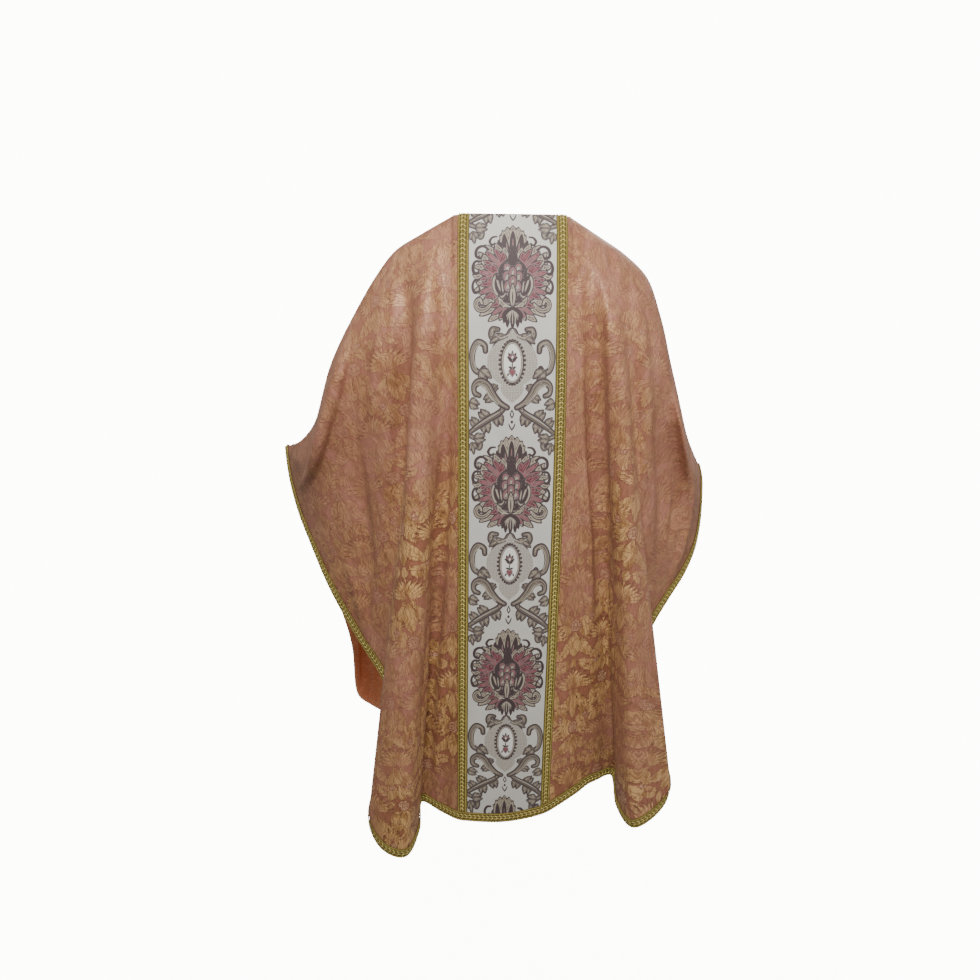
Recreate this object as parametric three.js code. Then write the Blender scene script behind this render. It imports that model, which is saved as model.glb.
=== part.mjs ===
// A gothic chasuble, the wide poncho-like vestment that hangs from the shoulders and the arms,
// kept in the form that it takes on a standing figure with both arms held a little out.
// Two damask panels meet in a seam along the top of the shoulders and arms. Each carries a woven
// orphrey band down its middle between two gold braids, and a gold braid round its free edge.
// Units are millimetres. +Z is up, the wearer faces -Y, and the origin is the middle of the neck
// opening at the height of the shoulders, where the garment rests on its wearer.
import * as THREE from "three";

// Driving sizes: walls, gaps and trims
const clothWall = 1.6;
const orphreyWall = 1.0;
const braidWall = 1.4;
const seamGap = 0.3;
const hemBraidWidth = 22;

// The neckline: how far it reaches behind and in front of the seam's start, how square its corners
// are, its height, and how far its front dips. Near its ends the panels arch more and more.
const neckDepth = { back: 75, front: -112 };
const neckSquareness = { back: 2.6, front: 2.2 };
const neckHeight = 12;
const neckFrontDip = 66;
const neckBlend = 95;
const neckSlope = 0.35;

// Cloth that hangs from an arm leaves it this far behind, in front and below. The hold fades to
// its least towards the wrist, where the cloth's edge is near.
const armRound = { back: 60, front: 56, drop: 66, fadesOver: 210, least: 0.12 };
const curtainFall = 0.45;

// At the wrist the last column of cloth lies in the seam, and the one before it fans out from it
const tipFan = 30;

// Fineness of the grid and curves, and how far along them a direction is measured
const columnsToRow = { orphrey: 3, braid: 1, narrow: 2, wide: 3 };
const wideGap = 45;
const neckSamples = 24;
const seamSamples = 16;
const tangentReach = 4;
const placeReach = 0.02;
const inwardSpread = 3;
const leastReach = 1e-3;

// The seam line over each shoulder and arm, from the side of the neck to the wrist
const seamLeft = [
  { at: "neck side", x: 112, y: 30, z: 13 },
  { at: "shoulder slope", x: 170, y: 16, z: -17 },
  { at: "shoulder point", x: 224, y: 6, z: -48 },
  { at: "upper arm", x: 262, y: 5, z: -93 },
  { at: "upper arm middle", x: 305, y: 8, z: -162 },
  { at: "above elbow", x: 358, y: 14, z: -264 },
  { at: "elbow", x: 398, y: 0, z: -380 },
  { at: "forearm", x: 440, y: -44, z: -429 },
  { at: "wrist", x: 500, y: -140, z: -462 },
];
const seamRight = [
  { at: "neck side", x: -110, y: 30, z: 10 },
  { at: "shoulder slope", x: -166, y: 16, z: -23 },
  { at: "shoulder point", x: -222, y: 6, z: -58 },
  { at: "upper arm", x: -266, y: 4, z: -101 },
  { at: "upper arm middle", x: -292, y: 6, z: -170 },
  { at: "above elbow", x: -322, y: 10, z: -279 },
  { at: "elbow", x: -360, y: -2, z: -405 },
  { at: "forearm", x: -390, y: -46, z: -458 },
  { at: "wrist", x: -426, y: -130, z: -502 },
];

// Fold lines of the back panel, from its middle to each wrist. A row is one line of cloth: top is
// its place on the neckline or along the seam, over is where it leaves the shoulder or arm, fall is
// a point half way down and hem is its end on the free edge. Curtain rows, which hang from the
// arm, have only their ends, and swell is how much further out they fall.
const backMiddle = { over: [1, 128, -140], fall: [2, 150, -450], hem: [10, 160, -1207] };
const backLeft = [
  { at: "orphrey edge", neck: 79, over: [80, 125, -140], fall: [81, 148, -450], hem: [89, 156, -1208] },
  { at: "braid edge", neck: 100, over: [101, 119, -140], fall: [102, 143, -450], hem: [110, 150, -1209] },
  { at: "neck side", seam: 0, over: [113, 115, -140], fall: [113, 134, -450], hem: [146, 127, -1207] },
  { at: "inner valley", seam: 14, over: [126, 114, -140], fall: [126, 126, -450], hem: [191, 104, -1199] },
  { at: "tube wall", seam: 28, over: [140, 117, -140], fall: [146, 142, -450], hem: [193, 165, -1226] },
  { at: "tube crown", seam: 42, over: [152, 121, -141], fall: [170, 160, -450], hem: [216, 226, -1240] },
  { at: "tube outside", seam: 56, over: [163, 120, -143], fall: [189, 164, -450], hem: [262, 216, -1230] },
  { at: "tube ridge", seam: 70, over: [172, 115, -146], fall: [200, 150, -452], hem: [291, 184, -1188] },
  { at: "tube return", seam: 86, over: [182, 109, -150], fall: [203, 124, -450], hem: [266, 134, -1110] },
  { at: "back valley", seam: 112, over: [200, 102, -158], fall: [210, 102, -440], hem: [228, 90, -1012] },
  { at: "curtain start", seam: 165, over: [238, 88, -182], fall: [246, 92, -440], hem: [271, 60, -930] },
  { at: "curtain 1", seam: 250, swell: 0, hem: [330, 30, -844] },
  { at: "curtain 2", seam: 345, swell: 4, hem: [388, 0, -745] },
  { at: "curtain 3", seam: 440, swell: 0, hem: [431, -33, -654] },
  { at: "curtain 4", seam: 520, swell: 0, hem: [461, -64, -590] },
  { at: "curtain 5", seam: 585, swell: 0, hem: [482, -94, -531] },
  { at: "curtain 6", seam: 622, swell: 0, hem: [494, -121, -486] },
];
const backRight = [
  { at: "orphrey edge", neck: 79, over: [-78, 125, -140], fall: [-77, 149, -450], hem: [-69, 157, -1190] },
  { at: "braid edge", neck: 100, over: [-99, 120, -140], fall: [-98, 145, -450], hem: [-90, 151, -1182] },
  { at: "neck side", seam: 0, over: [-112, 116, -140], fall: [-118, 138, -450], hem: [-122, 141, -1166] },
  { at: "slope", seam: 16, over: [-126, 114, -140], fall: [-144, 130, -450], hem: [-174, 116, -1146] },
  { at: "inner valley", seam: 34, over: [-142, 113, -141], fall: [-168, 118, -450], hem: [-222, 86, -1146] },
  { at: "tube wall", seam: 50, over: [-156, 115, -142], fall: [-184, 132, -450], hem: [-228, 142, -1184] },
  { at: "tube crown", seam: 66, over: [-168, 117, -143], fall: [-202, 148, -450], hem: [-252, 198, -1192] },
  { at: "tube outside", seam: 80, over: [-178, 116, -145], fall: [-218, 150, -450], hem: [-300, 186, -1171] },
  { at: "tube ridge", seam: 94, over: [-188, 111, -148], fall: [-232, 138, -450], hem: [-331, 150, -1142] },
  { at: "tube return", seam: 110, over: [-199, 106, -152], fall: [-236, 116, -446], hem: [-302, 106, -1040] },
  { at: "back valley", seam: 136, over: [-216, 99, -160], fall: [-244, 100, -436], hem: [-262, 80, -890] },
  { at: "curtain start", seam: 185, over: [-250, 86, -184], fall: [-272, 94, -436], hem: [-299, 56, -811] },
  { at: "curtain 1", seam: 262, swell: 6, hem: [-341, 25, -755] },
  { at: "curtain 2", seam: 350, swell: -4, hem: [-374, -2, -716] },
  { at: "curtain 3", seam: 440, swell: 8, hem: [-402, -34, -670] },
  { at: "curtain 4", seam: 520, swell: 0, hem: [-418, -64, -620] },
  { at: "curtain 5", seam: 590, swell: 0, hem: [-427, -94, -570] },
  { at: "curtain 6", seam: 630, swell: 0, hem: [-430, -116, -527] },
];

// Fold lines of the front panel, which is shorter and falls from the chest and both forearms. Its
// rows stand at the same places along the seam as those of the back panel.
const frontMiddle = { over: [0, -146, -170], fall: [0, -166, -450], hem: [2, -184, -1150] };
const frontLeft = [
  { at: "orphrey edge", neck: 79, over: [79, -142, -164], fall: [80, -164, -450], hem: [82, -182, -1152] },
  { at: "braid edge", neck: 100, over: [100, -136, -160], fall: [101, -159, -450], hem: [104, -179, -1155] },
  { at: "neck side", seam: 0, over: [113, -129, -156], fall: [117, -150, -450], hem: [130, -166, -1156] },
  { at: "inner valley", seam: 14, over: [127, -124, -152], fall: [136, -140, -450], hem: [160, -148, -1152] },
  { at: "tube wall", seam: 28, over: [139, -125, -150], fall: [152, -151, -450], hem: [178, -184, -1160] },
  { at: "tube crown", seam: 42, over: [151, -125, -150], fall: [172, -166, -450], hem: [204, -218, -1166] },
  { at: "tube outside", seam: 56, over: [163, -121, -152], fall: [196, -170, -450], hem: [246, -226, -1161] },
  { at: "tube ridge", seam: 70, over: [174, -114, -154], fall: [212, -162, -450], hem: [272, -210, -1150] },
  { at: "tube return", seam: 86, over: [185, -106, -157], fall: [222, -144, -450], hem: [284, -182, -1138] },
  { at: "second valley", seam: 112, over: [203, -96, -164], fall: [234, -120, -448], hem: [278, -144, -1130] },
  { at: "sleeve wall", seam: 165, over: [240, -84, -188], fall: [264, -122, -484], hem: [298, -166, -1142] },
  { at: "sleeve crown", seam: 250, over: [294, -72, -246], fall: [320, -138, -570], hem: [342, -198, -1138] },
  { at: "sleeve ridge", seam: 345, over: [344, -64, -320], fall: [354, -142, -630], hem: [368, -172, -1096] },
  { at: "sleeve return", seam: 440, over: [382, -66, -412], fall: [378, -122, -630], hem: [372, -136, -945] },
  { at: "curtain 1", seam: 520, swell: 0, hem: [400, -124, -815] },
  { at: "curtain 2", seam: 585, swell: 0, hem: [448, -130, -645] },
  { at: "curtain 3", seam: 622, swell: 0, hem: [481, -140, -535] },
];
const frontRight = [
  { at: "orphrey edge", neck: 79, over: [-79, -142, -164], fall: [-79, -164, -450], hem: [-78, -182, -1150] },
  { at: "braid edge", neck: 100, over: [-100, -136, -160], fall: [-100, -160, -450], hem: [-100, -180, -1152] },
  { at: "neck side", seam: 0, over: [-113, -129, -156], fall: [-118, -152, -450], hem: [-130, -170, -1150] },
  { at: "inner valley", seam: 16, over: [-128, -123, -152], fall: [-142, -138, -450], hem: [-168, -148, -1142] },
  { at: "tube wall", seam: 34, over: [-144, -124, -151], fall: [-164, -151, -450], hem: [-196, -180, -1148] },
  { at: "tube crown", seam: 50, over: [-157, -124, -152], fall: [-188, -165, -450], hem: [-228, -213, -1154] },
  { at: "tube outside", seam: 66, over: [-170, -120, -154], fall: [-210, -165, -450], hem: [-262, -215, -1147] },
  { at: "tube ridge", seam: 80, over: [-180, -114, -156], fall: [-222, -156, -450], hem: [-282, -197, -1132] },
  { at: "tube return", seam: 94, over: [-189, -107, -159], fall: [-229, -142, -450], hem: [-290, -175, -1116] },
  { at: "second valley", seam: 110, over: [-199, -99, -163], fall: [-236, -124, -448], hem: [-286, -150, -1098] },
  { at: "sleeve start", seam: 136, over: [-217, -91, -170], fall: [-248, -112, -454], hem: [-286, -138, -1082] },
  { at: "sleeve wall", seam: 185, over: [-248, -80, -192], fall: [-270, -116, -480], hem: [-295, -158, -1072] },
  { at: "sleeve crown", seam: 262, over: [-284, -68, -246], fall: [-300, -130, -540], hem: [-318, -178, -1034] },
  { at: "sleeve ridge", seam: 350, over: [-306, -62, -322], fall: [-322, -132, -600], hem: [-333, -154, -950] },
  { at: "sleeve return", seam: 440, over: [-342, -62, -412], fall: [-348, -112, -610], hem: [-351, -126, -850] },
  { at: "curtain 1", seam: 520, swell: 0, hem: [-374, -114, -756] },
  { at: "curtain 2", seam: 590, swell: 0, hem: [-402, -116, -650] },
  { at: "curtain 3", seam: 630, swell: 0, hem: [-420, -127, -566] },
];

// Grid rows between the three parts of a fold line: seam to over, over to fall, fall to hem braid
const rowsOver = 4;
const rowsFall = 5;
const rowsHang = 8;

const point = ([x, y, z]) => new THREE.Vector3(x, y, z);

// A smooth curve through a list of points, at place t counted in points, with phantom end points
function smoothThrough(points, t) {
  const last = points.length - 1;
  const i = Math.min(Math.max(Math.floor(t), 0), last - 1);
  const p1 = points[i];
  const p2 = points[i + 1];
  const p0 = points[i - 1] ?? p1.clone().multiplyScalar(2).sub(p2);
  const p3 = points[i + 2] ?? p2.clone().multiplyScalar(2).sub(p1);
  const reach = (a, b) => Math.max(Math.sqrt(a.distanceTo(b)), leastReach);
  const d0 = reach(p0, p1);
  const d1 = reach(p1, p2);
  const d2 = reach(p2, p3);
  const w = t - i;
  const tangent = (a, b, c, da, db) =>
    b.clone().sub(a).divideScalar(da)
      .sub(c.clone().sub(a).divideScalar(da + db))
      .add(c.clone().sub(b).divideScalar(db))
      .multiplyScalar(d1);
  const m1 = tangent(p0, p1, p2, d0, d1);
  const m2 = tangent(p1, p2, p3, d1, d2);
  const w2 = w * w;
  const w3 = w2 * w;
  return p1.clone().multiplyScalar(2 * w3 - 3 * w2 + 1)
    .addScaledVector(m1, w3 - 2 * w2 + w)
    .addScaledVector(p2, 3 * w2 - 2 * w3)
    .addScaledVector(m2, w3 - w2);
}

// Half of the neckline from the side of the neck to its middle, as the back or the front cuts it
function halfNeckline(side, toBack) {
  const power = toBack ? neckSquareness.back : neckSquareness.front;
  const depth = toBack ? neckDepth.back : neckDepth.front;
  const start = side > 0 ? seamLeft[0] : seamRight[0];
  const points = [];
  for (let k = 0; k <= neckSamples; k++) {
    const turn = (k / neckSamples) * (Math.PI / 2);
    const across = Math.cos(turn) ** (2 / power);
    const along = Math.sin(turn) ** (2 / power);
    const dip = toBack ? 0 : neckFrontDip * along ** 2;
    const level = neckHeight + (start.z - neckHeight) * across;
    points.push(point([start.x * across, start.y + (depth - start.y) * along, level - dip]));
  }
  return points;
}

// A polyline with its running length, read at any distance from its start
function measured(points) {
  const run = [0];
  for (let k = 1; k < points.length; k++) run.push(run[k - 1] + points[k].distanceTo(points[k - 1]));
  const length = run[run.length - 1];
  const at = (distance) => {
    const d = Math.min(Math.max(distance, 0), length);
    let k = 1;
    while (k < run.length - 1 && run[k] < d) k++;
    return points[k - 1].clone().lerp(points[k], (d - run[k - 1]) / (run[k] - run[k - 1]));
  };
  return { points, run, length, at };
}

function seamLine(table) {
  const knots = table.map((row) => point([row.x, row.y, row.z]));
  const samples = seamSamples * (knots.length - 1);
  const points = [];
  for (let k = 0; k <= samples; k++) points.push(smoothThrough(knots, k / seamSamples));
  return measured(points);
}

// The top edge of a panel's half: negative distances run along the neckline, positive ones along
// the seam, and 0 is the side of the neck. Both panels share the seam's side and up directions.
function topEdge(side, toBack) {
  const neck = measured(halfNeckline(side, toBack));
  const seam = seamLine(side > 0 ? seamLeft : seamRight);
  const alongAt = (distance) =>
    seam.at(distance + tangentReach).sub(seam.at(distance - tangentReach)).normalize();
  const sideAt = (distance) => {
    const along = alongAt(distance);
    return new THREE.Vector3(-along.y, along.x, 0).normalize().multiplyScalar(side);
  };
  const upAt = (distance) => sideAt(distance).cross(alongAt(distance)).normalize().multiplyScalar(-side);
  const shift = toBack ? seamGap / 2 : -seamGap / 2;
  const at = (distance) => {
    const p = distance < 0 ? neck.at(-distance) : seam.at(distance);
    return p.addScaledVector(sideAt(Math.max(distance, 0)), shift);
  };
  const neckPlace = (x) => {
    let k = 1;
    while (k < neck.points.length - 1 && Math.abs(neck.points[k].x) > x) k++;
    const a = Math.abs(neck.points[k - 1].x);
    const b = Math.abs(neck.points[k].x);
    return -(neck.run[k - 1] + ((a - x) / (a - b)) * (neck.run[k] - neck.run[k - 1]));
  };
  return { at, upAt, neckPlace, neckLength: neck.length, seamLength: seam.length };
}

// The fold rows of one half with their missing values worked out: the place on the top edge, the
// number of columns, and the points of cloth that leaves the arm and hangs from it to the edge
function fullRows(rows, edge, toBack) {
  const places = rows.map((row) => (row.seam === undefined ? edge.neckPlace(row.neck) : row.seam));
  const columnsTo = (k) => {
    if (k === 0) return columnsToRow.orphrey;
    if (places[k] <= 0) return columnsToRow.braid;
    return places[k] - places[k - 1] > wideGap ? columnsToRow.wide : columnsToRow.narrow;
  };
  return rows.map((row, k) => {
    const top = places[k];
    const steps = columnsTo(k);
    const hem = point(row.hem);
    if (row.over) return { top, steps, over: point(row.over), fall: point(row.fall), hem };
    const toWrist = (edge.seamLength - hemBraidWidth - top) / armRound.fadesOver;
    const grip = Math.min(Math.max(toWrist, armRound.least), 1);
    const depth = toBack ? armRound.back + row.swell : -armRound.front - row.swell;
    const over = edge.at(top).add(point([0, depth * grip, -armRound.drop * grip]));
    over.lerp(hem, armRound.least * (1 - grip));
    return { top, steps, over, fall: over.clone().lerp(hem, curtainFall), hem };
  });
}

// The last row of a half lies in the seam itself, so that the hem braid crosses it squarely
function wristRow(edge) {
  const length = edge.seamLength;
  const start = length - hemBraidWidth - tipFan;
  const along = [start, start + tipFan / 3, start + (tipFan * 2) / 3, start + tipFan, length];
  const [, over, fall, , hem] = along.map(edge.at);
  return { top: start, steps: columnsToRow.narrow, over, fall, hem, along };
}

// A panel as a grid of points: columns run from the right wrist to the left one, rows from the
// seam down to the free edge, and the last row of cells is as wide as the hem braid.
function panelGrid(middle, left, right, toBack) {
  const edges = { left: topEdge(1, toBack), right: topEdge(-1, toBack) };
  const half = (rows, edge) => [...fullRows(rows, edge, toBack), wristRow(edge)];
  const leftRows = half(left, edges.left);
  const rightRows = half(right, edges.right);
  const centre = { over: point(middle.over), fall: point(middle.fall), hem: point(middle.hem) };
  // Distances along the whole top edge are counted from the middle of the neckline
  const place = (row, edge, sign) => ({ ...row, top: sign * (row.top + edge.neckLength) });
  const rows = [
    ...rightRows.map((row) => place(row, edges.right, -1)).reverse(),
    { ...centre, top: 0, steps: 0 },
    ...leftRows.map((row) => place(row, edges.left, 1)),
  ];
  const middleIndex = rightRows.length;
  const edgeAt = (distance) => (distance >= 0 ? edges.left : edges.right);
  const fromNeck = (distance) => Math.abs(distance) - edgeAt(distance).neckLength;

  // Column places in table rows, and the column that each table row lands on
  const columns = [0];
  const columnOf = [0];
  for (let r = 1; r < rows.length; r++) {
    const steps = r <= middleIndex ? rows[r - 1].steps : rows[r].steps;
    for (let k = 1; k <= steps; k++) columns.push(r - 1 + k / steps);
    columnOf.push(columns.length - 1);
  }

  const overs = rows.map((row) => row.over);
  const falls = rows.map((row) => row.fall);
  const hems = rows.map((row) => row.hem);
  const lastPlace = rows.length - 1;
  const hemAt = (c) => smoothThrough(hems, Math.min(Math.max(c, 0), lastPlace));

  const distances = columns.map((c) => {
    const r = Math.min(Math.floor(c), lastPlace - 1);
    return rows[r].top + (c - r) * (rows[r + 1].top - rows[r].top);
  });
  const counts = [rowsOver, rowsFall, rowsHang];

  // A wrist column runs along the seam
  const seamColumn = (row, edge) => {
    const along = [];
    counts.forEach((count, part) => {
      const from = row.along[part];
      const span = row.along[part + 1] - from;
      for (let k = 0; k < count; k++) along.push(from + (k / count) * span);
    });
    along.push(row.along[3], row.along[4]);
    return { line: along.map(edge.at), ups: along.map(edge.upAt) };
  };

  // Directions from the free edge into the cloth, evened out between neighbouring columns so that
  // the hem braid does not twist
  const edgeDirections = columns.map((c) => hemAt(c + placeReach).sub(hemAt(c - placeReach)).normalize());
  const square = (v, i) => v.addScaledVector(edgeDirections[i], -v.dot(edgeDirections[i])).normalize();
  const rawInward = columns.map((c, i) => square(smoothThrough(falls, c).sub(hemAt(c)), i));
  const inwardAt = (i) => {
    const sum = new THREE.Vector3();
    for (let k = -inwardSpread; k <= inwardSpread; k++) {
      const other = rawInward[Math.min(Math.max(i + k, 0), columns.length - 1)];
      sum.addScaledVector(other, inwardSpread + 1 - Math.abs(k));
    }
    return square(sum, i);
  };

  const hangingColumn = (c, distance, i) => {
    const edge = edgeAt(distance);
    const start = edge.at(fromNeck(distance));
    const over = smoothThrough(overs, c);
    const fall = smoothThrough(falls, c);
    const hem = hemAt(c);
    const inner = hem.clone().addScaledVector(inwardAt(i), hemBraidWidth);
    // Cloth arches over the seam, and leaves the neckline at a slope
    const onNeck = Math.min(Math.max(-fromNeck(distance) / neckBlend, 0), 1);
    const rise = start.z - over.z;
    const before = new THREE.Vector3(start.x * 2 - over.x, start.y * 2 - over.y, over.z);
    before.z += rise * (1 + neckSlope) * onNeck;
    const after = inner.clone().multiplyScalar(2).sub(fall);
    const knots = [before, start, over, fall, inner, after];
    const line = [];
    counts.forEach((count, part) => {
      for (let k = 0; k < count; k++) line.push(smoothThrough(knots, 1 + part + k / count));
    });
    line.push(inner, hem);
    return { line, ups: fromNeck(distance) >= 0 ? [edge.upAt(fromNeck(distance))] : [] };
  };

  const built = columns.map((c, i) => {
    if (c === 0) return seamColumn(rows[0], edges.right);
    if (c === lastPlace) return seamColumn(rows[lastPlace], edges.left);
    return hangingColumn(c, distances[i], i);
  });
  const grid = built.map((column) => column.line);
  const seamUps = built.map((column) => column.ups);
  return { grid, seamUps, columnOf, middleIndex, toBack };
}

// Outward directions at every grid point: averages of the cells round it, and in the seam the
// direction that both panels share.
function outward({ grid, seamUps, toBack }) {
  const normals = grid.map((line) => line.map(() => new THREE.Vector3()));
  for (let i = 0; i < grid.length - 1; i++)
    for (let j = 0; j < grid[0].length - 1; j++) {
      const a = grid[i + 1][j + 1].clone().sub(grid[i][j]);
      const b = grid[i][j + 1].clone().sub(grid[i + 1][j]);
      const cell = a.cross(b).normalize().multiplyScalar(toBack ? 1 : -1);
      for (const corner of [normals[i][j], normals[i + 1][j], normals[i][j + 1], normals[i + 1][j + 1]])
        corner.add(cell);
    }
  normals.forEach((line) => line.forEach((n) => n.normalize()));
  seamUps.forEach((ups, i) => ups.forEach((up, j) => normals[i][j].copy(up)));
  return normals;
}

// A closed wall over a rectangle of grid cells, between two heights above the grid. Sides that
// meet a neighbouring piece are drawn in by half of the seam gap.
function wall(name, panel, cells, heights, drawnIn, material) {
  const { grid, normals, toBack } = panel;
  const { i0, i1, j0, j1 } = cells;
  const [low, high] = heights;
  const wide = i1 - i0 + 1;
  const tall = j1 - j0 + 1;
  const positions = [];
  const place = (i, j) => {
    const p = grid[i][j].clone();
    const pull = (onSide, ni, nj) => {
      if (!onSide) return;
      const step = grid[ni][nj].clone().sub(grid[i][j]);
      p.addScaledVector(step.normalize(), seamGap / 2);
    };
    pull(drawnIn.sides && i === i0, i0 + 1, j);
    pull(drawnIn.sides && i === i1, i1 - 1, j);
    pull(drawnIn.top && j === j0, i, j0 + 1);
    pull(drawnIn.bottom && j === j1, i, j1 - 1);
    return p;
  };
  for (const height of [high, low])
    for (let i = i0; i <= i1; i++)
      for (let j = j0; j <= j1; j++)
        positions.push(...place(i, j).addScaledVector(normals[i][j], height).toArray());
  const index = (layer, i, j) => layer * wide * tall + i * tall + j;
  const faces = [];
  const quad = (a, b, c, d) => faces.push(a, b, c, a, c, d);
  for (let i = 0; i < wide - 1; i++)
    for (let j = 0; j < tall - 1; j++) {
      quad(index(0, i, j), index(0, i, j + 1), index(0, i + 1, j + 1), index(0, i + 1, j));
      // The inner face is split along the same diagonal as the outer one
      faces.push(index(1, i, j), index(1, i + 1, j + 1), index(1, i, j + 1));
      faces.push(index(1, i, j), index(1, i + 1, j), index(1, i + 1, j + 1));
    }
  for (let i = 0; i < wide - 1; i++) {
    const end = tall - 1;
    quad(index(0, i, 0), index(0, i + 1, 0), index(1, i + 1, 0), index(1, i, 0));
    quad(index(0, i, end), index(1, i, end), index(1, i + 1, end), index(0, i + 1, end));
  }
  for (let j = 0; j < tall - 1; j++) {
    const end = wide - 1;
    quad(index(0, 0, j), index(1, 0, j), index(1, 0, j + 1), index(0, 0, j + 1));
    quad(index(0, end, j), index(0, end, j + 1), index(1, end, j + 1), index(1, end, j));
  }
  if (toBack)
    for (let k = 0; k < faces.length; k += 3) [faces[k + 1], faces[k + 2]] = [faces[k + 2], faces[k + 1]];
  const geometry = new THREE.BufferGeometry();
  geometry.setAttribute("position", new THREE.Float32BufferAttribute(positions, 3));
  geometry.setIndex(faces);
  geometry.computeVertexNormals();
  const mesh = new THREE.Mesh(geometry, material);
  mesh.name = name;
  return mesh;
}

// Materials, with the colours that the cloth shows
const damask = new THREE.MeshStandardMaterial({ color: 0xb07a4c, roughness: 0.5, metalness: 0 });
const tapestry = new THREE.MeshStandardMaterial({ color: 0xd9d5c8, roughness: 0.75, metalness: 0 });
const goldBraid = new THREE.MeshStandardMaterial({ color: 0xa88f35, roughness: 0.45, metalness: 0.3 });

const chasuble = new THREE.Group();
chasuble.name = "chasuble";

const outerFace = clothWall / 2;
const panelHeights = [-outerFace, outerFace];
const orphreyHeights = [outerFace + seamGap, outerFace + seamGap + orphreyWall];
const braidHeights = [outerFace + seamGap, outerFace + seamGap + braidWall];

// One panel with all that is sewn on it
function addPanel(label, middle, left, right, toBack) {
  const panel = panelGrid(middle, left, right, toBack);
  panel.normals = outward(panel);
  const { grid, columnOf, middleIndex } = panel;
  const lastColumn = grid.length - 1;
  const hemRow = grid[0].length - 1;
  const bandRow = hemRow - 1;
  // Columns of the orphrey's edges (1) and of the braids' outer edges (2), either side of the middle
  const column = (offset) => columnOf[middleIndex + offset];
  const strip = (from, to) => ({ i0: column(from), i1: column(to), j0: 0, j1: bandRow });
  const allOver = { i0: 0, i1: lastColumn, j0: 0, j1: hemRow };
  const freeEdge = { i0: 0, i1: lastColumn, j0: bandRow, j1: hemRow };
  const hanging = { sides: true, bottom: true };
  chasuble.add(wall(`${label}_panel`, panel, allOver, panelHeights, {}, damask));
  chasuble.add(wall(`${label}_orphrey`, panel, strip(-1, 1), orphreyHeights, hanging, tapestry));
  chasuble.add(wall(`${label}_braid_left`, panel, strip(1, 2), braidHeights, hanging, goldBraid));
  chasuble.add(wall(`${label}_braid_right`, panel, strip(-2, -1), braidHeights, hanging, goldBraid));
  chasuble.add(wall(`${label}_hem_braid`, panel, freeEdge, braidHeights, { top: true }, goldBraid));
}

addPanel("back", backMiddle, backLeft, backRight, true);
addPanel("front", frontMiddle, frontLeft, frontRight, false);

export default chasuble;
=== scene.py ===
import math

import bmesh
import bpy
import numpy as np
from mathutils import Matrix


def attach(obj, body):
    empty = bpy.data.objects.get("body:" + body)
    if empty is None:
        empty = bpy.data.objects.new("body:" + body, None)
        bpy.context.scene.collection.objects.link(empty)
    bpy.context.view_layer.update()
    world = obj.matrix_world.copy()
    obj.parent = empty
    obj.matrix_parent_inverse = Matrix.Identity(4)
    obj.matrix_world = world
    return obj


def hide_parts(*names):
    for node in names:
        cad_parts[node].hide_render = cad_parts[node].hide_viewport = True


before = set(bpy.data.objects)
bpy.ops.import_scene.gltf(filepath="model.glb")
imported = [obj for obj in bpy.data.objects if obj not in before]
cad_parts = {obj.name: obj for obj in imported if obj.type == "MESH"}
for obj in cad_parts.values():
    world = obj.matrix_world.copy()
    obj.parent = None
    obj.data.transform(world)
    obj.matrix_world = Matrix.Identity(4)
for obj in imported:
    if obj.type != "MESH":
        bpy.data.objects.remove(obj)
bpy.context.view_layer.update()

MM = 0.001

# ------------------------------------------------------------------------------------------------
# The camera stands behind the garment at the height of its shoulder blades and looks a little
# down on it, with a wide lens, so that the hem curves and the hanging back looms forward.
camera = bpy.data.objects.new("camera", bpy.data.cameras.new("camera"))
camera.data.lens = 28.8
camera.data.sensor_width = 36
camera.location = (0.042, 1.590, -0.125)
camera_looks_down = 14.2
camera.rotation_euler = (math.radians(90 - camera_looks_down), 0, math.radians(180))
bpy.context.scene.collection.objects.link(camera)
bpy.context.scene.camera = camera

# ------------------------------------------------------------------------------------------------
# The two damask panels: a back and a front, cut wide and round and joined by one seam over each
# shoulder and arm. Each panel is made in two halves, which meet under its orphrey. Their form is
# a set of fold lines, from the neckline or the seam down to the free edge, as the cloth falls.
hem_braid_width = 22
seam_gap = 0.3
panel_face = 0.8
panel_thickness = 1.2

neck_depth = {"back": 75, "front": -112}
neck_squareness = {"back": 2.6, "front": 2.2}
neck_height = 12
neck_front_dip = 66
neck_blend = 95
neck_slope = 0.35

arm_round = {"back": 60, "front": 56, "drop": 66, "fades_over": 210, "least": 0.12}
curtain_fall = 0.45
tip_fan = 30

# Seam over each shoulder and arm, from the side of the neck to the wrist, in millimetres
seam_left = [
    (112, 30, 13), (170, 16, -17), (224, 6, -48), (262, 5, -93), (305, 8, -162),
    (358, 14, -264), (398, 0, -380), (440, -44, -429), (500, -140, -462),
]
seam_right = [
    (-110, 30, 10), (-166, 16, -23), (-222, 6, -58), (-266, 4, -101), (-292, 6, -170),
    (-322, 10, -279), (-360, -2, -405), (-390, -46, -458), (-426, -130, -502),
]

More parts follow.
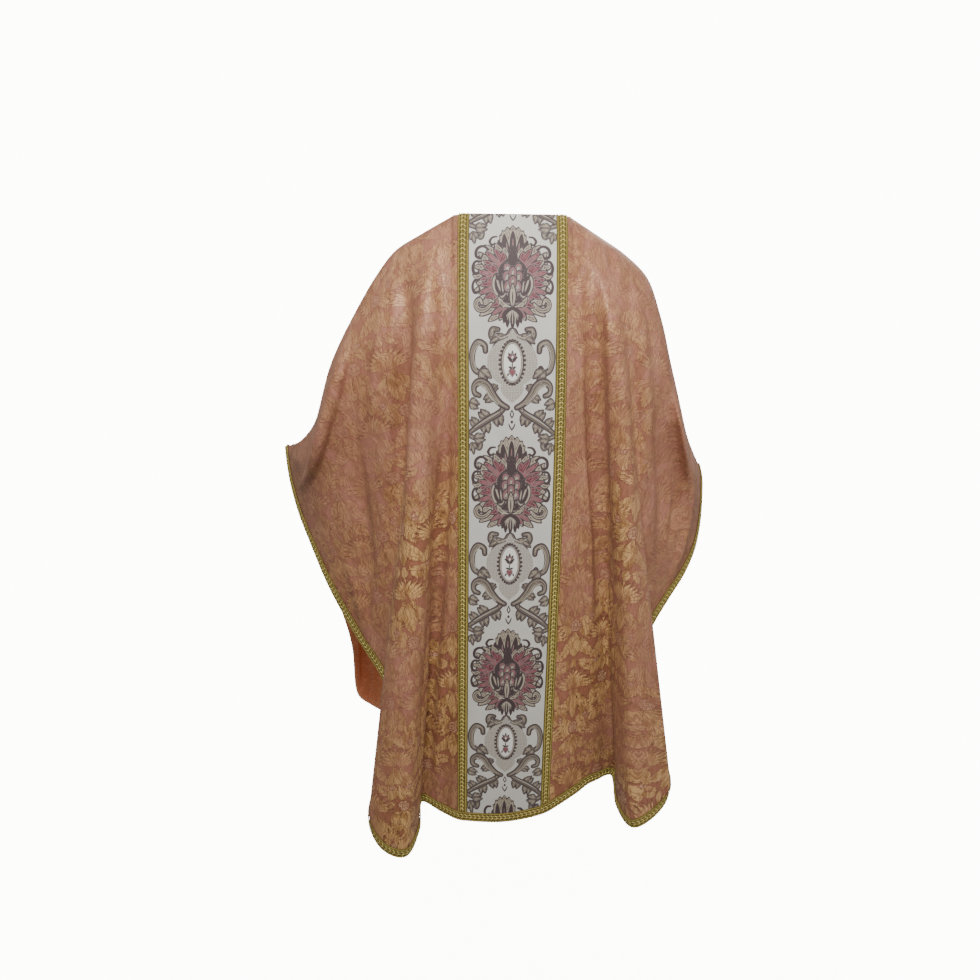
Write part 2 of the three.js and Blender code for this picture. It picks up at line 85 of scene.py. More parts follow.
# A fold line: its place along the seam or on the neckline (negative, by its distance from the
# middle), where it leaves the shoulder, a point half way down, and its end on the free edge. Cloth
# that hangs from an arm has only how much further out than usual it falls, and its end.
back_middle = ((1, 128, -140), (2, 150, -450), (10, 160, -1207))
back_left = [
    (-79, (80, 125, -140), (81, 148, -450), (89, 156, -1208)),
    (-100, (101, 119, -140), (102, 143, -450), (110, 150, -1209)),
    (0, (113, 115, -140), (113, 134, -450), (146, 127, -1207)),
    (14, (126, 114, -140), (126, 126, -450), (191, 104, -1199)),
    (28, (140, 117, -140), (146, 142, -450), (193, 165, -1226)),
    (42, (152, 121, -141), (170, 160, -450), (216, 226, -1240)),
    (56, (163, 120, -143), (189, 164, -450), (262, 216, -1230)),
    (70, (172, 115, -146), (200, 150, -452), (291, 184, -1188)),
    (86, (182, 109, -150), (203, 124, -450), (266, 134, -1110)),
    (112, (200, 102, -158), (210, 102, -440), (228, 90, -1012)),
    (165, (238, 88, -182), (246, 92, -440), (271, 60, -930)),
    (250, 0, (330, 30, -844)),
    (345, 4, (388, 0, -745)),
    (440, 0, (431, -33, -654)),
    (520, 0, (461, -64, -590)),
    (585, 0, (482, -94, -531)),
    (622, 0, (494, -121, -486)),
]
back_right = [
    (-79, (-78, 125, -140), (-77, 149, -450), (-69, 157, -1190)),
    (-100, (-99, 120, -140), (-98, 145, -450), (-90, 151, -1182)),
    (0, (-112, 116, -140), (-118, 138, -450), (-122, 141, -1166)),
    (16, (-126, 114, -140), (-144, 130, -450), (-174, 116, -1146)),
    (34, (-142, 113, -141), (-168, 118, -450), (-222, 86, -1146)),
    (50, (-156, 115, -142), (-184, 132, -450), (-228, 142, -1184)),
    (66, (-168, 117, -143), (-202, 148, -450), (-252, 198, -1192)),
    (80, (-178, 116, -145), (-218, 150, -450), (-300, 186, -1171)),
    (94, (-188, 111, -148), (-232, 138, -450), (-331, 150, -1142)),
    (110, (-199, 106, -152), (-236, 116, -446), (-302, 106, -1040)),
    (136, (-216, 99, -160), (-244, 100, -436), (-262, 80, -890)),
    (185, (-250, 86, -184), (-272, 94, -436), (-299, 56, -811)),
    (262, 6, (-341, 25, -755)),
    (350, -4, (-374, -2, -716)),
    (440, 8, (-402, -34, -670)),
    (520, 0, (-418, -64, -620)),
    (590, 0, (-427, -94, -570)),
    (630, 0, (-430, -116, -527)),
]
front_middle = ((0, -146, -170), (0, -166, -450), (2, -184, -1150))
front_left = [
    (-79, (79, -142, -164), (80, -164, -450), (82, -182, -1152)),
    (-100, (100, -136, -160), (101, -159, -450), (104, -179, -1155)),
    (0, (113, -129, -156), (117, -150, -450), (130, -166, -1156)),
    (14, (127, -124, -152), (136, -140, -450), (160, -148, -1152)),
    (28, (139, -125, -150), (152, -151, -450), (178, -184, -1160)),
    (42, (151, -125, -150), (172, -166, -450), (204, -218, -1166)),
    (56, (163, -121, -152), (196, -170, -450), (246, -226, -1161)),
    (70, (174, -114, -154), (212, -162, -450), (272, -210, -1150)),
    (86, (185, -106, -157), (222, -144, -450), (284, -182, -1138)),
    (112, (203, -96, -164), (234, -120, -448), (278, -144, -1130)),
    (165, (240, -84, -188), (264, -122, -484), (298, -166, -1142)),
    (250, (294, -72, -246), (320, -138, -570), (342, -198, -1138)),
    (345, (344, -64, -320), (354, -142, -630), (368, -172, -1096)),
    (440, (382, -66, -412), (378, -122, -630), (372, -136, -945)),
    (520, 0, (400, -124, -815)),
    (585, 0, (448, -130, -645)),
    (622, 0, (481, -140, -535)),
]
front_right = [
    (-79, (-79, -142, -164), (-79, -164, -450), (-78, -182, -1150)),
    (-100, (-100, -136, -160), (-100, -160, -450), (-100, -180, -1152)),
    (0, (-113, -129, -156), (-118, -152, -450), (-130, -170, -1150)),
    (16, (-128, -123, -152), (-142, -138, -450), (-168, -148, -1142)),
    (34, (-144, -124, -151), (-164, -151, -450), (-196, -180, -1148)),
    (50, (-157, -124, -152), (-188, -165, -450), (-228, -213, -1154)),
    (66, (-170, -120, -154), (-210, -165, -450), (-262, -215, -1147)),
    (80, (-180, -114, -156), (-222, -156, -450), (-282, -197, -1132)),
    (94, (-189, -107, -159), (-229, -142, -450), (-290, -175, -1116)),
    (110, (-199, -99, -163), (-236, -124, -448), (-286, -150, -1098)),
    (136, (-217, -91, -170), (-248, -112, -454), (-286, -138, -1082)),
    (185, (-248, -80, -192), (-270, -116, -480), (-295, -158, -1072)),
    (262, (-284, -68, -246), (-300, -130, -540), (-318, -178, -1034)),
    (350, (-306, -62, -322), (-322, -132, -600), (-333, -154, -950)),
    (440, (-342, -62, -412), (-348, -112, -610), (-351, -126, -850)),
    (520, 0, (-374, -114, -756)),
    (590, 0, (-402, -116, -650)),
    (630, 0, (-420, -127, -566)),
]

# Creases on those folds: each row is a line of knots with across, height, how far out (a ridge) or
# in (a trough) it pushes the cloth, and half width. They fade out over so many fold lines from the
# wrists and heights from the top edge, and where the cloth turns away from its own side.
crease_fade = {"wrists": 1.3, "top": 0.5, "turned": 0.4}
seam_turn = 0.12

creases = {
    "back": [
        [(207, -71, 0, 20), (201, -140, -12, 24), (204, -231, -18, 26), (215, -364, -20, 26),
         (229, -524, -19, 26), (250, -695, -11, 26), (275, -863, 0, 24)],
        [(154, -41, 0, 24), (157, -139, 8, 30), (163, -283, 12, 32), (173, -430, 14, 32),
         (182, -602, 9, 30), (187, -781, 5, 28), (204, -985, 0, 26)],
        [(117, -322, 0, 14), (128, -437, -8, 18), (139, -553, -12, 20), (149, -723, -14, 20),
         (168, -950, -9, 20), (183, -1170, -3, 18)],
        [(104, -452, 0, 12), (113, -591, 5, 14), (124, -762, 6, 16), (142, -942, 8, 17),
         (156, -1133, 3, 15)],
        [(236, -113, 0, 16), (250, -213, 6, 20), (264, -327, 8, 22), (276, -448, 0, 20)],
        [(309, -197, 0, 14), (333, -280, 8, 18), (361, -367, 9, 18), (405, -477, 9, 16), (448, -537, 0, 14)],
        [(311, -328, 0, 16), (307, -451, -8, 22), (300, -576, -11, 24), (295, -706, -9, 24),
         (307, -823, 0, 20)],
        [(352, -640, 0, 14), (322, -750, 6, 18), (294, -868, 0, 18)],
        [(-139, -65, 0, 16), (-148, -157, -13, 24), (-153, -284, -19, 28), (-161, -419, -21, 28),
         (-174, -581, -15, 27), (-189, -771, -8, 24), (-207, -959, 0, 22)],
        [(-175, -113, 0, 20), (-189, -229, 9, 26), (-202, -376, 12, 28), (-212, -510, 11, 28),
         (-228, -683, 8, 28), (-245, -867, 0, 26)],
        [(-122, -633, 0, 24), (-129, -761, -9, 28), (-137, -892, -12, 30), (-156, -1037, -8, 28),
         (-170, -1150, -3, 26)],
        [(-130, -357, 0, 9), (-142, -493, 6, 12), (-153, -639, 8, 13), (-163, -788, 0, 11)],
        [(-177, -42, 0, 10), (-186, -71, -5, 13), (-191, -113, 0, 10)],
        [(-229, -113, 0, 15), (-241, -212, 8, 19), (-253, -325, 9, 21), (-256, -463, 8, 20),
         (-247, -551, 0, 18)],
        [(-275, -327, 0, 14), (-291, -428, -9, 19), (-307, -555, -11, 20), (-306, -684, 0, 17)],
        [(-333, -453, 0, 12), (-340, -562, -8, 16), (-329, -658, 0, 14)],
        [(-369, -440, 0, 12), (-373, -544, 8, 15), (-364, -644, 8, 15), (-336, -727, 0, 13)],
    ],
    "front": [
        [(-150, -190, 0, 18), (-158, -330, -9, 24), (-170, -520, -14, 26), (-186, -760, -11, 26),
         (-205, -980, 0, 22)],
        [(-205, -170, 0, 20), (-214, -320, 9, 26), (-226, -520, 12, 28), (-246, -760, 6, 28),
         (-262, -930, 0, 24)],
        [(-262, -260, 0, 16), (-272, -420, -9, 22), (-284, -620, -9, 24), (-300, -830, 0, 20)],
        [(-318, -380, 0, 14), (-328, -520, 8, 18), (-334, -680, 9, 20), (-336, -840, 0, 16)],
        [(-120, -520, 0, 10), (-126, -700, 6, 13), (-134, -900, 6, 14), (-140, -1080, 0, 12)],
        [(152, -180, 0, 18), (158, -340, -9, 24), (168, -540, -14, 26), (182, -780, -9, 26),
         (196, -1000, 0, 22)],
        [(206, -180, 0, 20), (214, -330, 11, 26), (228, -540, 12, 30), (248, -800, 6, 28),
         (262, -1000, 0, 24)],
        [(268, -240, 0, 16), (282, -400, -9, 22), (300, -620, -12, 26), (318, -860, -6, 24),
         (330, -1040, 0, 20)],
        [(322, -320, 0, 14), (338, -480, 8, 18), (350, -680, 9, 22), (360, -880, 0, 18)],
        [(118, -560, 0, 10), (124, -740, 6, 13), (134, -930, 8, 14), (142, -1100, 0, 12)],
        [(392, -430, 0, 12), (396, -560, 6, 16), (388, -700, 0, 14)],
    ],
}


def unit(vectors):
    return vectors / np.maximum(np.linalg.norm(vectors, axis=-1, keepdims=True), 1e-9)


def square_to(vectors, lines):
    """Unit vectors without what points along the lines."""
    return unit(vectors - lines * np.sum(vectors * lines, axis=-1, keepdims=True))


def nearest_on(x, y, a, b):
    """The share of the way from a to b that lies nearest to each place, and how far off it is."""
    step = b[:2] - a[:2]
    share = np.clip(((x - a[0]) * step[0] + (y - a[1]) * step[1]) / np.dot(step, step), 0, 1)
    return share, np.hypot(x - a[0] - share * step[0], y - a[1] - share * step[1])


def smooth_through(points, places):
    """A smooth curve through points (..., n, dims), read at places that are counted in points."""
    first = 2 * points[..., :1, :] - points[..., 1:2, :]
    last = 2 * points[..., -1:, :] - points[..., -2:-1, :]
    padded = np.concatenate([first, points, last], axis=-2)
    i = np.clip(np.floor(places).astype(int), 0, points.shape[-2] - 2)
    w = (places - i)[..., None]
    p0, p1, p2, p3 = (padded[..., i + k, :] for k in range(4))

    def reach(a, b):
        return np.maximum(np.sqrt(np.linalg.norm(b - a, axis=-1, keepdims=True)), 1e-3)

    d0, d1, d2 = reach(p0, p1), reach(p1, p2), reach(p2, p3)
    m1 = ((p1 - p0) / d0 - (p2 - p0) / (d0 + d1) + (p2 - p1) / d1) * d1
    m2 = ((p2 - p1) / d1 - (p3 - p1) / (d1 + d2) + (p3 - p2) / d2) * d1
    return (
        p1 * (2 * w**3 - 3 * w**2 + 1) + m1 * (w**3 - 2 * w**2 + w)
        + p2 * (3 * w**2 - 2 * w**3) + m2 * (w**3 - w**2)
    )


def running_length(points):
    steps = np.linalg.norm(np.diff(points, axis=0), axis=1)
    return np.concatenate([[0], np.cumsum(steps)])


def read_line(points, run, distance):
    d = np.clip(distance, 0, run[-1])
    return np.stack([np.interp(d, run, points[:, k]) for k in range(3)], axis=-1)


def top_edge(side, face):
    """The edge where a half panel hangs: negative distances run along the neckline, positive ones
    along the seam, and 0 is the side of the neck."""
    seam_knots = np.array(seam_left if side > 0 else seam_right, float)
    seam = smooth_through(seam_knots, np.linspace(0, len(seam_knots) - 1, 16 * (len(seam_knots) - 1) + 1))
    seam_run = running_length(seam)
    turn = np.linspace(0, math.pi / 2, 25)
    across = np.clip(np.cos(turn), 0, 1) ** (2 / neck_squareness[face])
    depth = np.sin(turn) ** (2 / neck_squareness[face])
    dip = neck_front_dip * depth**2 if face == "front" else 0
    x, y, z = seam_knots[0]
    neck = np.stack([
        x * across, y + (neck_depth[face] - y) * depth, neck_height + (z - neck_height) * across - dip,
    ], axis=-1)
    neck_run = running_length(neck)
    shift = seam_gap / 2 if face == "back" else -seam_gap / 2

    def along(distance):
        return unit(read_line(seam, seam_run, distance + 4) - read_line(seam, seam_run, distance - 4))

    def sideways(distance):
        a = along(distance)
        return unit(np.stack([-a[..., 1], a[..., 0], 0 * a[..., 0]], axis=-1)) * side

    def up(distance):
        return unit(np.cross(sideways(distance), along(distance))) * -side

    def at(distance):
        on_neck = read_line(neck, neck_run, -distance)
        on_seam = read_line(seam, seam_run, distance)
        place = np.where(distance[..., None] < 0, on_neck, on_seam)
        return place + sideways(np.maximum(distance, 0)) * shift

    def neck_place(half_width):
        return -np.interp(half_width, np.abs(neck[::-1, 0]), neck_run[::-1])

    return {"at": at, "up": up, "neck_place": neck_place, "neck": neck_run[-1], "seam": seam_run[-1]}


def half_lines(table, edge, face):
    """The fold lines of one half with their missing points worked out, and the wrist line, which
    lies in the seam itself."""
    tops, overs, falls, hems = [], [], [], []
    for top, *places in table:
        top = float(edge["neck_place"](-top)) if top < 0 else float(top)
        hem = np.array(places[-1], float)
        if len(places) == 3:
            over, fall = np.array(places[0], float), np.array(places[1], float)
        else:
            grip = (edge["seam"] - hem_braid_width - top) / arm_round["fades_over"]
            grip = min(max(grip, arm_round["least"]), 1)
            out = (arm_round[face] + places[0]) * (1 if face == "back" else -1)
            over = edge["at"](np.array(top)) + np.array([0, out * grip, -arm_round["drop"] * grip])
            over = over + (hem - over) * arm_round["least"] * (1 - grip)
            fall = over + (hem - over) * curtain_fall
        tops.append(top), overs.append(over), falls.append(fall), hems.append(hem)
    start = edge["seam"] - hem_braid_width - tip_fan
    wrist = [start, start + tip_fan / 3, start + tip_fan * 2 / 3, start + tip_fan, edge["seam"]]
    on_seam = edge["at"](np.array(wrist))
    tops.append(start), overs.append(on_seam[1]), falls.append(on_seam[2]), hems.append(on_seam[4])
    return tops, overs, falls, hems, wrist


def panel_form(face, middle, left, right):
    """All that the shape of one panel needs: its fold lines from the right wrist to the left one."""
    edges = {"left": top_edge(1, face), "right": top_edge(-1, face)}
    l_tops, l_overs, l_falls, l_hems, l_wrist = half_lines(left, edges["left"], face)
    r_tops, r_overs, r_falls, r_hems, r_wrist = half_lines(right, edges["right"], face)
    right_tops = [-(top + edges["right"]["neck"]) for top in r_tops][::-1]
    left_tops = [top + edges["left"]["neck"] for top in l_tops]
    over, fall, hem = middle

    def joined(r, point, l):
        return np.array(r[::-1] + [np.array(point, float)] + l)

    return {
        "face": face, "edges": edges, "tops": np.array(right_tops + [0] + left_tops),
        "middle": len(right) + 1, "overs": joined(r_overs, over, l_overs),
        "falls": joined(r_falls, fall, l_falls), "hems": joined(r_hems, hem, l_hems),
        "wrists": {"left": l_wrist, "right": r_wrist},
    }


def plain_cloth(form, columns, heights):
    """Points (column, height, 3) of the cloth without creases. Columns are counted in fold lines;
    heights run 0 at the top edge, 1 off the shoulder, 2 half way, 3 at the braid, 4 at the edge."""
    columns, heights = np.asarray(columns, float), np.asarray(heights, float)
    last = len(form["tops"]) - 1
    on_left = columns >= form["middle"]
    distance = np.interp(columns, np.arange(last + 1), form["tops"])
    left, right = form["edges"]["left"], form["edges"]["right"]
    from_neck = np.abs(distance) - np.where(on_left, left["neck"], right["neck"])
    start = np.where(on_left[:, None], left["at"](from_neck), right["at"](from_neck))
    over = smooth_through(form["overs"], columns)
    fall = smooth_through(form["falls"], columns)

    def hem_at(c):
        return smooth_through(form["hems"], np.clip(c, 0, last))

    def inward_at(c):
        edge_line = unit(hem_at(c + 0.02) - hem_at(c - 0.02))
        inward = smooth_through(form["falls"], np.clip(c, 0, last)) - hem_at(c)
        return square_to(inward, edge_line), edge_line

    # The braid's inner line is set in from the edge, evened out over the fold lines on either side
    hem = hem_at(columns)
    edge_line = inward_at(columns)[1]
    spread = sum((4 - abs(k)) * inward_at(np.clip(columns + 0.4 * k, 0, last))[0] for k in range(-3, 4))
    inner = hem + square_to(spread, edge_line) * hem_braid_width

    on_neck = np.clip(-from_neck / neck_blend, 0, 1)
    before = np.stack([
        2 * start[:, 0] - over[:, 0], 2 * start[:, 1] - over[:, 1],
        over[:, 2] + (start[:, 2] - over[:, 2]) * (1 + neck_slope) * on_neck,
    ], axis=-1)
    knots = np.stack([before, start, over, fall, inner, 2 * inner - fall], axis=1)
    points = smooth_through(knots, 1 + np.minimum(heights, 3))
    in_braid = np.clip(heights - 3, 0, 1)[None, :, None]
    points = points * (1 - in_braid) + (points + (hem - inner)[:, None]) * in_braid
    for side, wrist_column in (("left", last), ("right", 0)):
        near = np.clip(1 - np.abs(columns - wrist_column) / 0.5, 0, 1)[:, None, None]
        line = form["edges"][side]["at"](np.interp(heights, np.arange(5), form["wrists"][side]))
        points = points * (1 - near) + line[None] * near
    return points, from_neck


def facing_out(form, points):
    outward = np.cross(np.gradient(points, axis=0), np.gradient(points, axis=1))
    return unit(outward if form["face"] == "back" else -outward)


def crease_depth(face, points):
    """How far the creases push each place out, in millimetres."""
    depth = np.zeros(points.shape[:-1])
    x, z = points[..., 0], points[..., 2]
    for knots in creases[face]:
        line = smooth_through(np.array(knots, float), np.linspace(0, len(knots) - 1, 6 * len(knots) - 5))
        wide = line[:, 3].max()
        near = ((x > line[:, 0].min() - wide) & (x < line[:, 0].max() + wide)
                & (z > line[:, 1].min() - wide) & (z < line[:, 1].max() + wide))
        if not near.any():
            continue
        px, pz = x[near], z[near]
        least, push = np.full(px.shape, 1e3), np.zeros(px.shape)
        for a, b in zip(line[:-1], line[1:]):
            share, far = nearest_on(px, pz, a, b)
            depth_here, half_here = (a[k] + (b[k] - a[k]) * share for k in (2, 3))
            here = depth_here * np.clip(1 - (far / half_here) ** 2, 0, 1) ** 2
            push = np.where(far < least, here, push)
            least = np.minimum(far, least)
        depth[near] += push
    return depth


def hang_cloth(form, columns, heights):
    """Points of the creased cloth, counted as in plain_cloth, and its outward directions."""
    columns, heights = np.asarray(columns, float), np.asarray(heights, float)
    points, from_neck = plain_cloth(form, columns, heights)
    outward = facing_out(form, points)
    wrists = np.minimum(columns, len(form["tops"]) - 1 - columns)
    share = np.clip(wrists / crease_fade["wrists"], 0, 1)[:, None]
    share = share * np.clip(heights / crease_fade["top"], 0, 1)[None]
    own_side = 1 if form["face"] == "back" else -1
    seen = np.clip(outward[..., 1] * own_side / crease_fade["turned"], 0, 1)
    points = points + outward * (crease_depth(form["face"], points) * share * seen)[..., None]
    outward = facing_out(form, points)
    left, right = form["edges"]["left"], form["edges"]["right"]
    ups = np.where((columns >= form["middle"])[:, None], left["up"](from_neck), right["up"](from_neck))
    seam_share = np.clip(1 - heights / seam_turn, 0, 1)[None, :, None] * (from_neck >= 0)[:, None, None]
    outward = unit(outward * (1 - seam_share) + ups[:, None] * seam_share)
    return points, outward


flattening_rounds = 6000
flattening_pull = 1.2
sharpest_cosine = 0.98
flat_heights = (0, 0.12, 0.3, 0.5, 0.75, 1, 1.25, 1.5, 1.75, 2, 2.15, 2.3, 2.45, 2.6, 2.8, 3, 4)


def lay_flat(form):
    """The flat cut of a panel: fold lines are laid side by side as straight rays with their true
    lengths and spacings, and a net of threads is then evened out until it has its hung lengths."""
    last = len(form["tops"]) - 1
    columns = np.concatenate([np.arange(0, last, 0.5), [last]])
    heights = np.array(flat_heights)
    points = plain_cloth(form, columns, heights)[0]
    middle = int(np.argmin(np.abs(columns - form["middle"])))
    flat = np.zeros(points.shape[:2] + (2,))
    runs = np.array([running_length(line) for line in points])
    lengths = runs[:, -1]
    shares = runs / np.maximum(lengths[:, None], 1e-6)
    down = np.array([0.0, -1.0])
    flat[middle] = shares[middle][:, None] * lengths[middle] * down
    for step in (1, -1):
        top, bottom, ray = np.zeros(2), down * lengths[middle], down
        i = middle + step
        while 0 <= i < len(columns):
            # The top edge leaves the last ray at the angle that it has to the hung cloth
            along_top = points[i, 0] - points[i - step, 0]
            fall_line = unit(points[i, 1] - points[i, 0] + points[i - step, 1] - points[i - step, 0])
            cosine = np.clip(np.dot(unit(along_top), fall_line), -sharpest_cosine, sharpest_cosine)
            sine = math.sqrt(1 - cosine**2) * step
            heading = ray * cosine + np.array([-ray[1], ray[0]]) * sine
            top = top + heading * np.linalg.norm(along_top)
            gap = np.linalg.norm(points[i, -1] - points[i - step, -1])
            between = bottom - top
            reach = max(np.linalg.norm(between), 1e-6)
            share = (reach**2 + lengths[i] ** 2 - gap**2) / (2 * reach)
            height = math.sqrt(max(lengths[i] ** 2 - share**2, 0)) * step
            toward = between / reach
            bottom = top + toward * share + np.array([-toward[1], toward[0]]) * height
            ray = unit(bottom - top)
            flat[i] = top + shares[i][:, None] * lengths[i] * ray
            i += step
    links = []
    for di, dj in ((1, 0), (0, 1), (1, 1), (1, -1)):
        a = (slice(0, flat.shape[0] - di), slice(max(-dj, 0), flat.shape[1] - max(dj, 0)))
        b = (slice(di, flat.shape[0]), slice(max(dj, 0), flat.shape[1] + min(dj, 0)))
        links.append((a, b, np.linalg.norm(points[a] - points[b], axis=-1)))
    for _ in range(flattening_rounds):
        push, count = np.zeros_like(flat), np.zeros(flat.shape[:2] + (1,))
        for a, b, rest in links:
            gap = flat[b] - flat[a]
            now = np.maximum(np.linalg.norm(gap, axis=-1), 1e-6)
            move = gap * (0.5 * (now - rest) / now)[..., None]
            push[a] += move
            push[b] -= move
            count[a] += 1
            count[b] += 1
        flat = flat + flattening_pull * push / count
    turn = flat[middle, -2] - flat[middle, 0]
    angle = math.atan2(turn[0], -turn[1])
    turned = np.array([[math.cos(angle), -math.sin(angle)], [math.sin(angle), math.cos(angle)]])
    flat = (flat - flat[middle, 0]) @ turned
    return {"columns": columns, "heights": heights, "flat": flat}


def flat_places(cut, columns, heights):
    """Flat coordinates at any columns and heights, in millimetres from the middle of the neck."""
    at_columns = np.interp(columns, cut["columns"], np.arange(len(cut["columns"])))
    at_heights = np.interp(heights, cut["heights"], np.arange(len(cut["heights"])))
    down_lines = smooth_through(cut["flat"], at_heights)
    return np.moveaxis(smooth_through(np.moveaxis(down_lines, 0, 1), at_columns), 1, 0)


forms = {
    "back": panel_form("back", back_middle, back_left, back_right),
    "front": panel_form("front", front_middle, front_left, front_right),
}
cuts = {face: lay_flat(form) for face, form in forms.items()}


def sheet_mesh(name, points, outward, flat=None):
    """A net of cloth cells through points (column, height, 3), facing outward."""
    cells = (points.shape[0] - 1, points.shape[1] - 1)
    net = bmesh.new()
    bmesh.ops.create_grid(net, x_segments=cells[0], y_segments=cells[1], size=1)
    mesh = bpy.data.meshes.new(name)
    net.to_mesh(mesh)
    net.free()
    spread = np.empty(len(mesh.vertices) * 3)
    mesh.vertices.foreach_get("co", spread)
    spread = spread.reshape(-1, 3)[:, :2]
    share = (spread - spread.min(axis=0)) / (spread.max(axis=0) - spread.min(axis=0))
    place = np.rint(share * cells).astype(int)
    mesh.vertices.foreach_set("co", (points[place[:, 0], place[:, 1]] * MM).ravel())
    mesh.update()
    facing = np.empty(len(mesh.vertices) * 3)
    mesh.vertices.foreach_get("normal", facing)
    if np.sum(facing.reshape(-1, 3) * outward[place[:, 0], place[:, 1]]) < 0:
        mesh.flip_normals()
    if flat is not None:
        corners = np.empty(len(mesh.loops), int)
        mesh.loops.foreach_get("vertex_index", corners)
        layer = mesh.uv_layers.new(name="flat")
        at = place[corners]
        layer.data.foreach_set("uv", (flat[at[:, 0], at[:, 1]] * MM).ravel())
    mesh.shade_smooth()
    return mesh, place


def add_piece(name, mesh, materials):
    piece = bpy.data.objects.new(name, mesh)
    for material in materials:
        mesh.materials.append(material)
    bpy.context.scene.collection.objects.link(piece)
    return piece


# The damask: gold satin foliage on a dusty rose ground, mirrored side to side. Its places are x
# across and y down within one drawn repeat, which the loom makes smaller by damask_scale.
damask_half_width = 135
damask_repeat = 430
damask_scale = 0.52
damask_start = (36, 60)
damask_wobble = {"scale": 150, "reach": 4.5}

# Lobed leaves, the hindmost first: base, tip, half width, bend, number of lobes a side
damask_leaves = [
    ((8, 340), (78, 414), 19, 0.5, 7), ((2, 268), (64, 336), 18, -0.45, 6),
    ((0, 318), (0, 424), 21, 0.0, 8), ((18, 268), (94, 238), 15, 0.5, 6),
    ((6, 152), (82, 222), 19, 0.55, 7), ((0, 142), (0, 250), 20, 0.0, 8),
    ((22, -8), (68, 46), 14, 0.5, 5), ((0, 2), (0, 44), 12, 0.0, 4),
    ((132, 112), (74, 172), 17, 0.45, 6), ((132, 206), (84, 276), 17, -0.5, 6),
    ((135, 106), (135, 218), 21, 0.0, 8), ((112, 176), (62, 204), 12, 0.4, 4),
    ((131, 366), (74, 424), 18, -0.5, 6), ((135, 362), (135, 438), 17, 0.0, 6),
    ((130, 4), (72, 62), 17, 0.5, 6), ((135, -6), (135, 60), 14, 0.0, 5),
    ((96, 334), (58, 274), 12, 0.5, 5), ((50, 116), (98, 74), 12, -0.4, 5),
    ((52, 244), (40, 210), 9, 0.3, 3), ((106, 428), (86, 392), 9, 0.3, 3),
]
# Crowns of narrow fronds: centre, reach, fronds to a half turn; scrolls: centre, reach, turn
damask_crowns = [((0, 130), 88, 13), ((135, 350), 82, 13), ((66, 236), 44, 9), ((60, 24), 46, 9)]
damask_scrolls = [((16, 138), 10, 1), ((120, 357), 10, -1)]
# Bunches of berries: centre and radius
damask_bunches = [((0, 290), 24), ((135, 88), 23), ((66, 250), 13), ((98, 2), 14)]


# How they are drawn: lobes of a leaf (depth, slant of the veins, width of rib and veins), fronds
# (how they lean over and narrow, the bare gap between them, how far round they stand), coils of a
# scroll (turns and line), berries (cells in a bunch) and the bare line round whatever lies on top
lobe_depth, vein_slant, rib_taper, vein_width = 0.36, 0.75, 3.4, 0.19
frond_lean, frond_taper, frond_gap, frond_last = 0.55, 0.34, 1.1, 1.35
scroll_turns, scroll_line = 11.0, 0.55
berry_scale, berry_scatter, berry_ring, berry_line = 0.115, 0.55, 0.24, 6.0
bare_reach, bare_weight = 1.13, 1.5


def add_math(tree, operation, *values):
    node = tree.nodes.new("ShaderNodeMath")
    node.operation = operation
    for socket, value in zip(node.inputs, values):
        if isinstance(value, (int, float)):
            socket.default_value = value
        else:
            tree.links.new(value, socket)
    return node.outputs[0]


def add_dot(tree, place, weights):
    """weights[0] * x + weights[1] * y + weights[2] of a place whose z is 1."""
    node = tree.nodes.new("ShaderNodeVectorMath")
    node.operation = "DOT_PRODUCT"
    tree.links.new(place, node.inputs[0])
    node.inputs[1].default_value = weights
    return node.outputs["Value"]


def add_reach(tree, place, centre):
    node = tree.nodes.new("ShaderNodeVectorMath")
    node.operation = "DISTANCE"
    tree.links.new(place, node.inputs[0])
    node.inputs[1].default_value = (*centre, 1)
    return node.outputs["Value"]


def map_range(tree, value, low, high, to_low=0.0, to_high=1.0):
    node = tree.nodes.new("ShaderNodeMapRange")
    for key, number in {"From Min": low, "From Max": high, "To Min": to_low, "To Max": to_high}.items():
        node.inputs[key].default_value = number
    tree.links.new(value, node.inputs["Value"])
    return node.outputs["Result"]


def cell_distance(tree, vector, scale, randomness):
    node = tree.nodes.new("ShaderNodeTexVoronoi")
    node.voronoi_dimensions = "2D"
    node.inputs["Scale"].default_value = scale
    node.inputs["Randomness"].default_value = randomness
    tree.links.new(vector, node.inputs["Vector"])
    return node.outputs["Distance"]


def lobed_leaf(tree, place, base, tip, half_width, bend, lobes):
    """Under 1 inside a lobed leaf, with bare lines for its rib and veins."""
    centre = ((base[0] + tip[0]) / 2, (base[1] + tip[1]) / 2)
    run = (tip[0] - base[0], tip[1] - base[1])
    half = math.hypot(*run) / 2
    ax, ay = run[0] / (2 * half), run[1] / (2 * half)
    lengthwise = (ax / half, ay / half, -(ax * centre[0] + ay * centre[1]) / half)
    wave = math.pi * lobes / 2
    along = add_dot(tree, place, lengthwise)
    waving = add_dot(tree, place, tuple(w * wave for w in lengthwise))
    bx, by = -ay / half_width, ax / half_width
    aside = add_dot(tree, place, (bx, by, -(bx * centre[0] + by * centre[1])))
    square = add_math(tree, "MULTIPLY", along, along)
    if bend:
        aside = add_math(tree, "MULTIPLY_ADD", square, bend, aside)
        aside = add_math(tree, "SUBTRACT", aside, bend * 0.4)
    aside = add_math(tree, "ABSOLUTE", aside)
    body = add_math(tree, "ADD", square, aside)
    slant = add_math(tree, "MULTIPLY_ADD", aside, -vein_slant * wave, waving)
    lobe = add_math(tree, "ABSOLUTE", add_math(tree, "SINE", slant))
    shape = add_math(tree, "MULTIPLY_ADD", lobe, -lobe_depth, body)
    vein = add_math(tree, "MINIMUM", lobe, add_math(tree, "MULTIPLY", aside, rib_taper))
    bare = add_math(tree, "LESS_THAN", vein, vein_width)
    return shape, add_math(tree, "ADD", shape, bare)


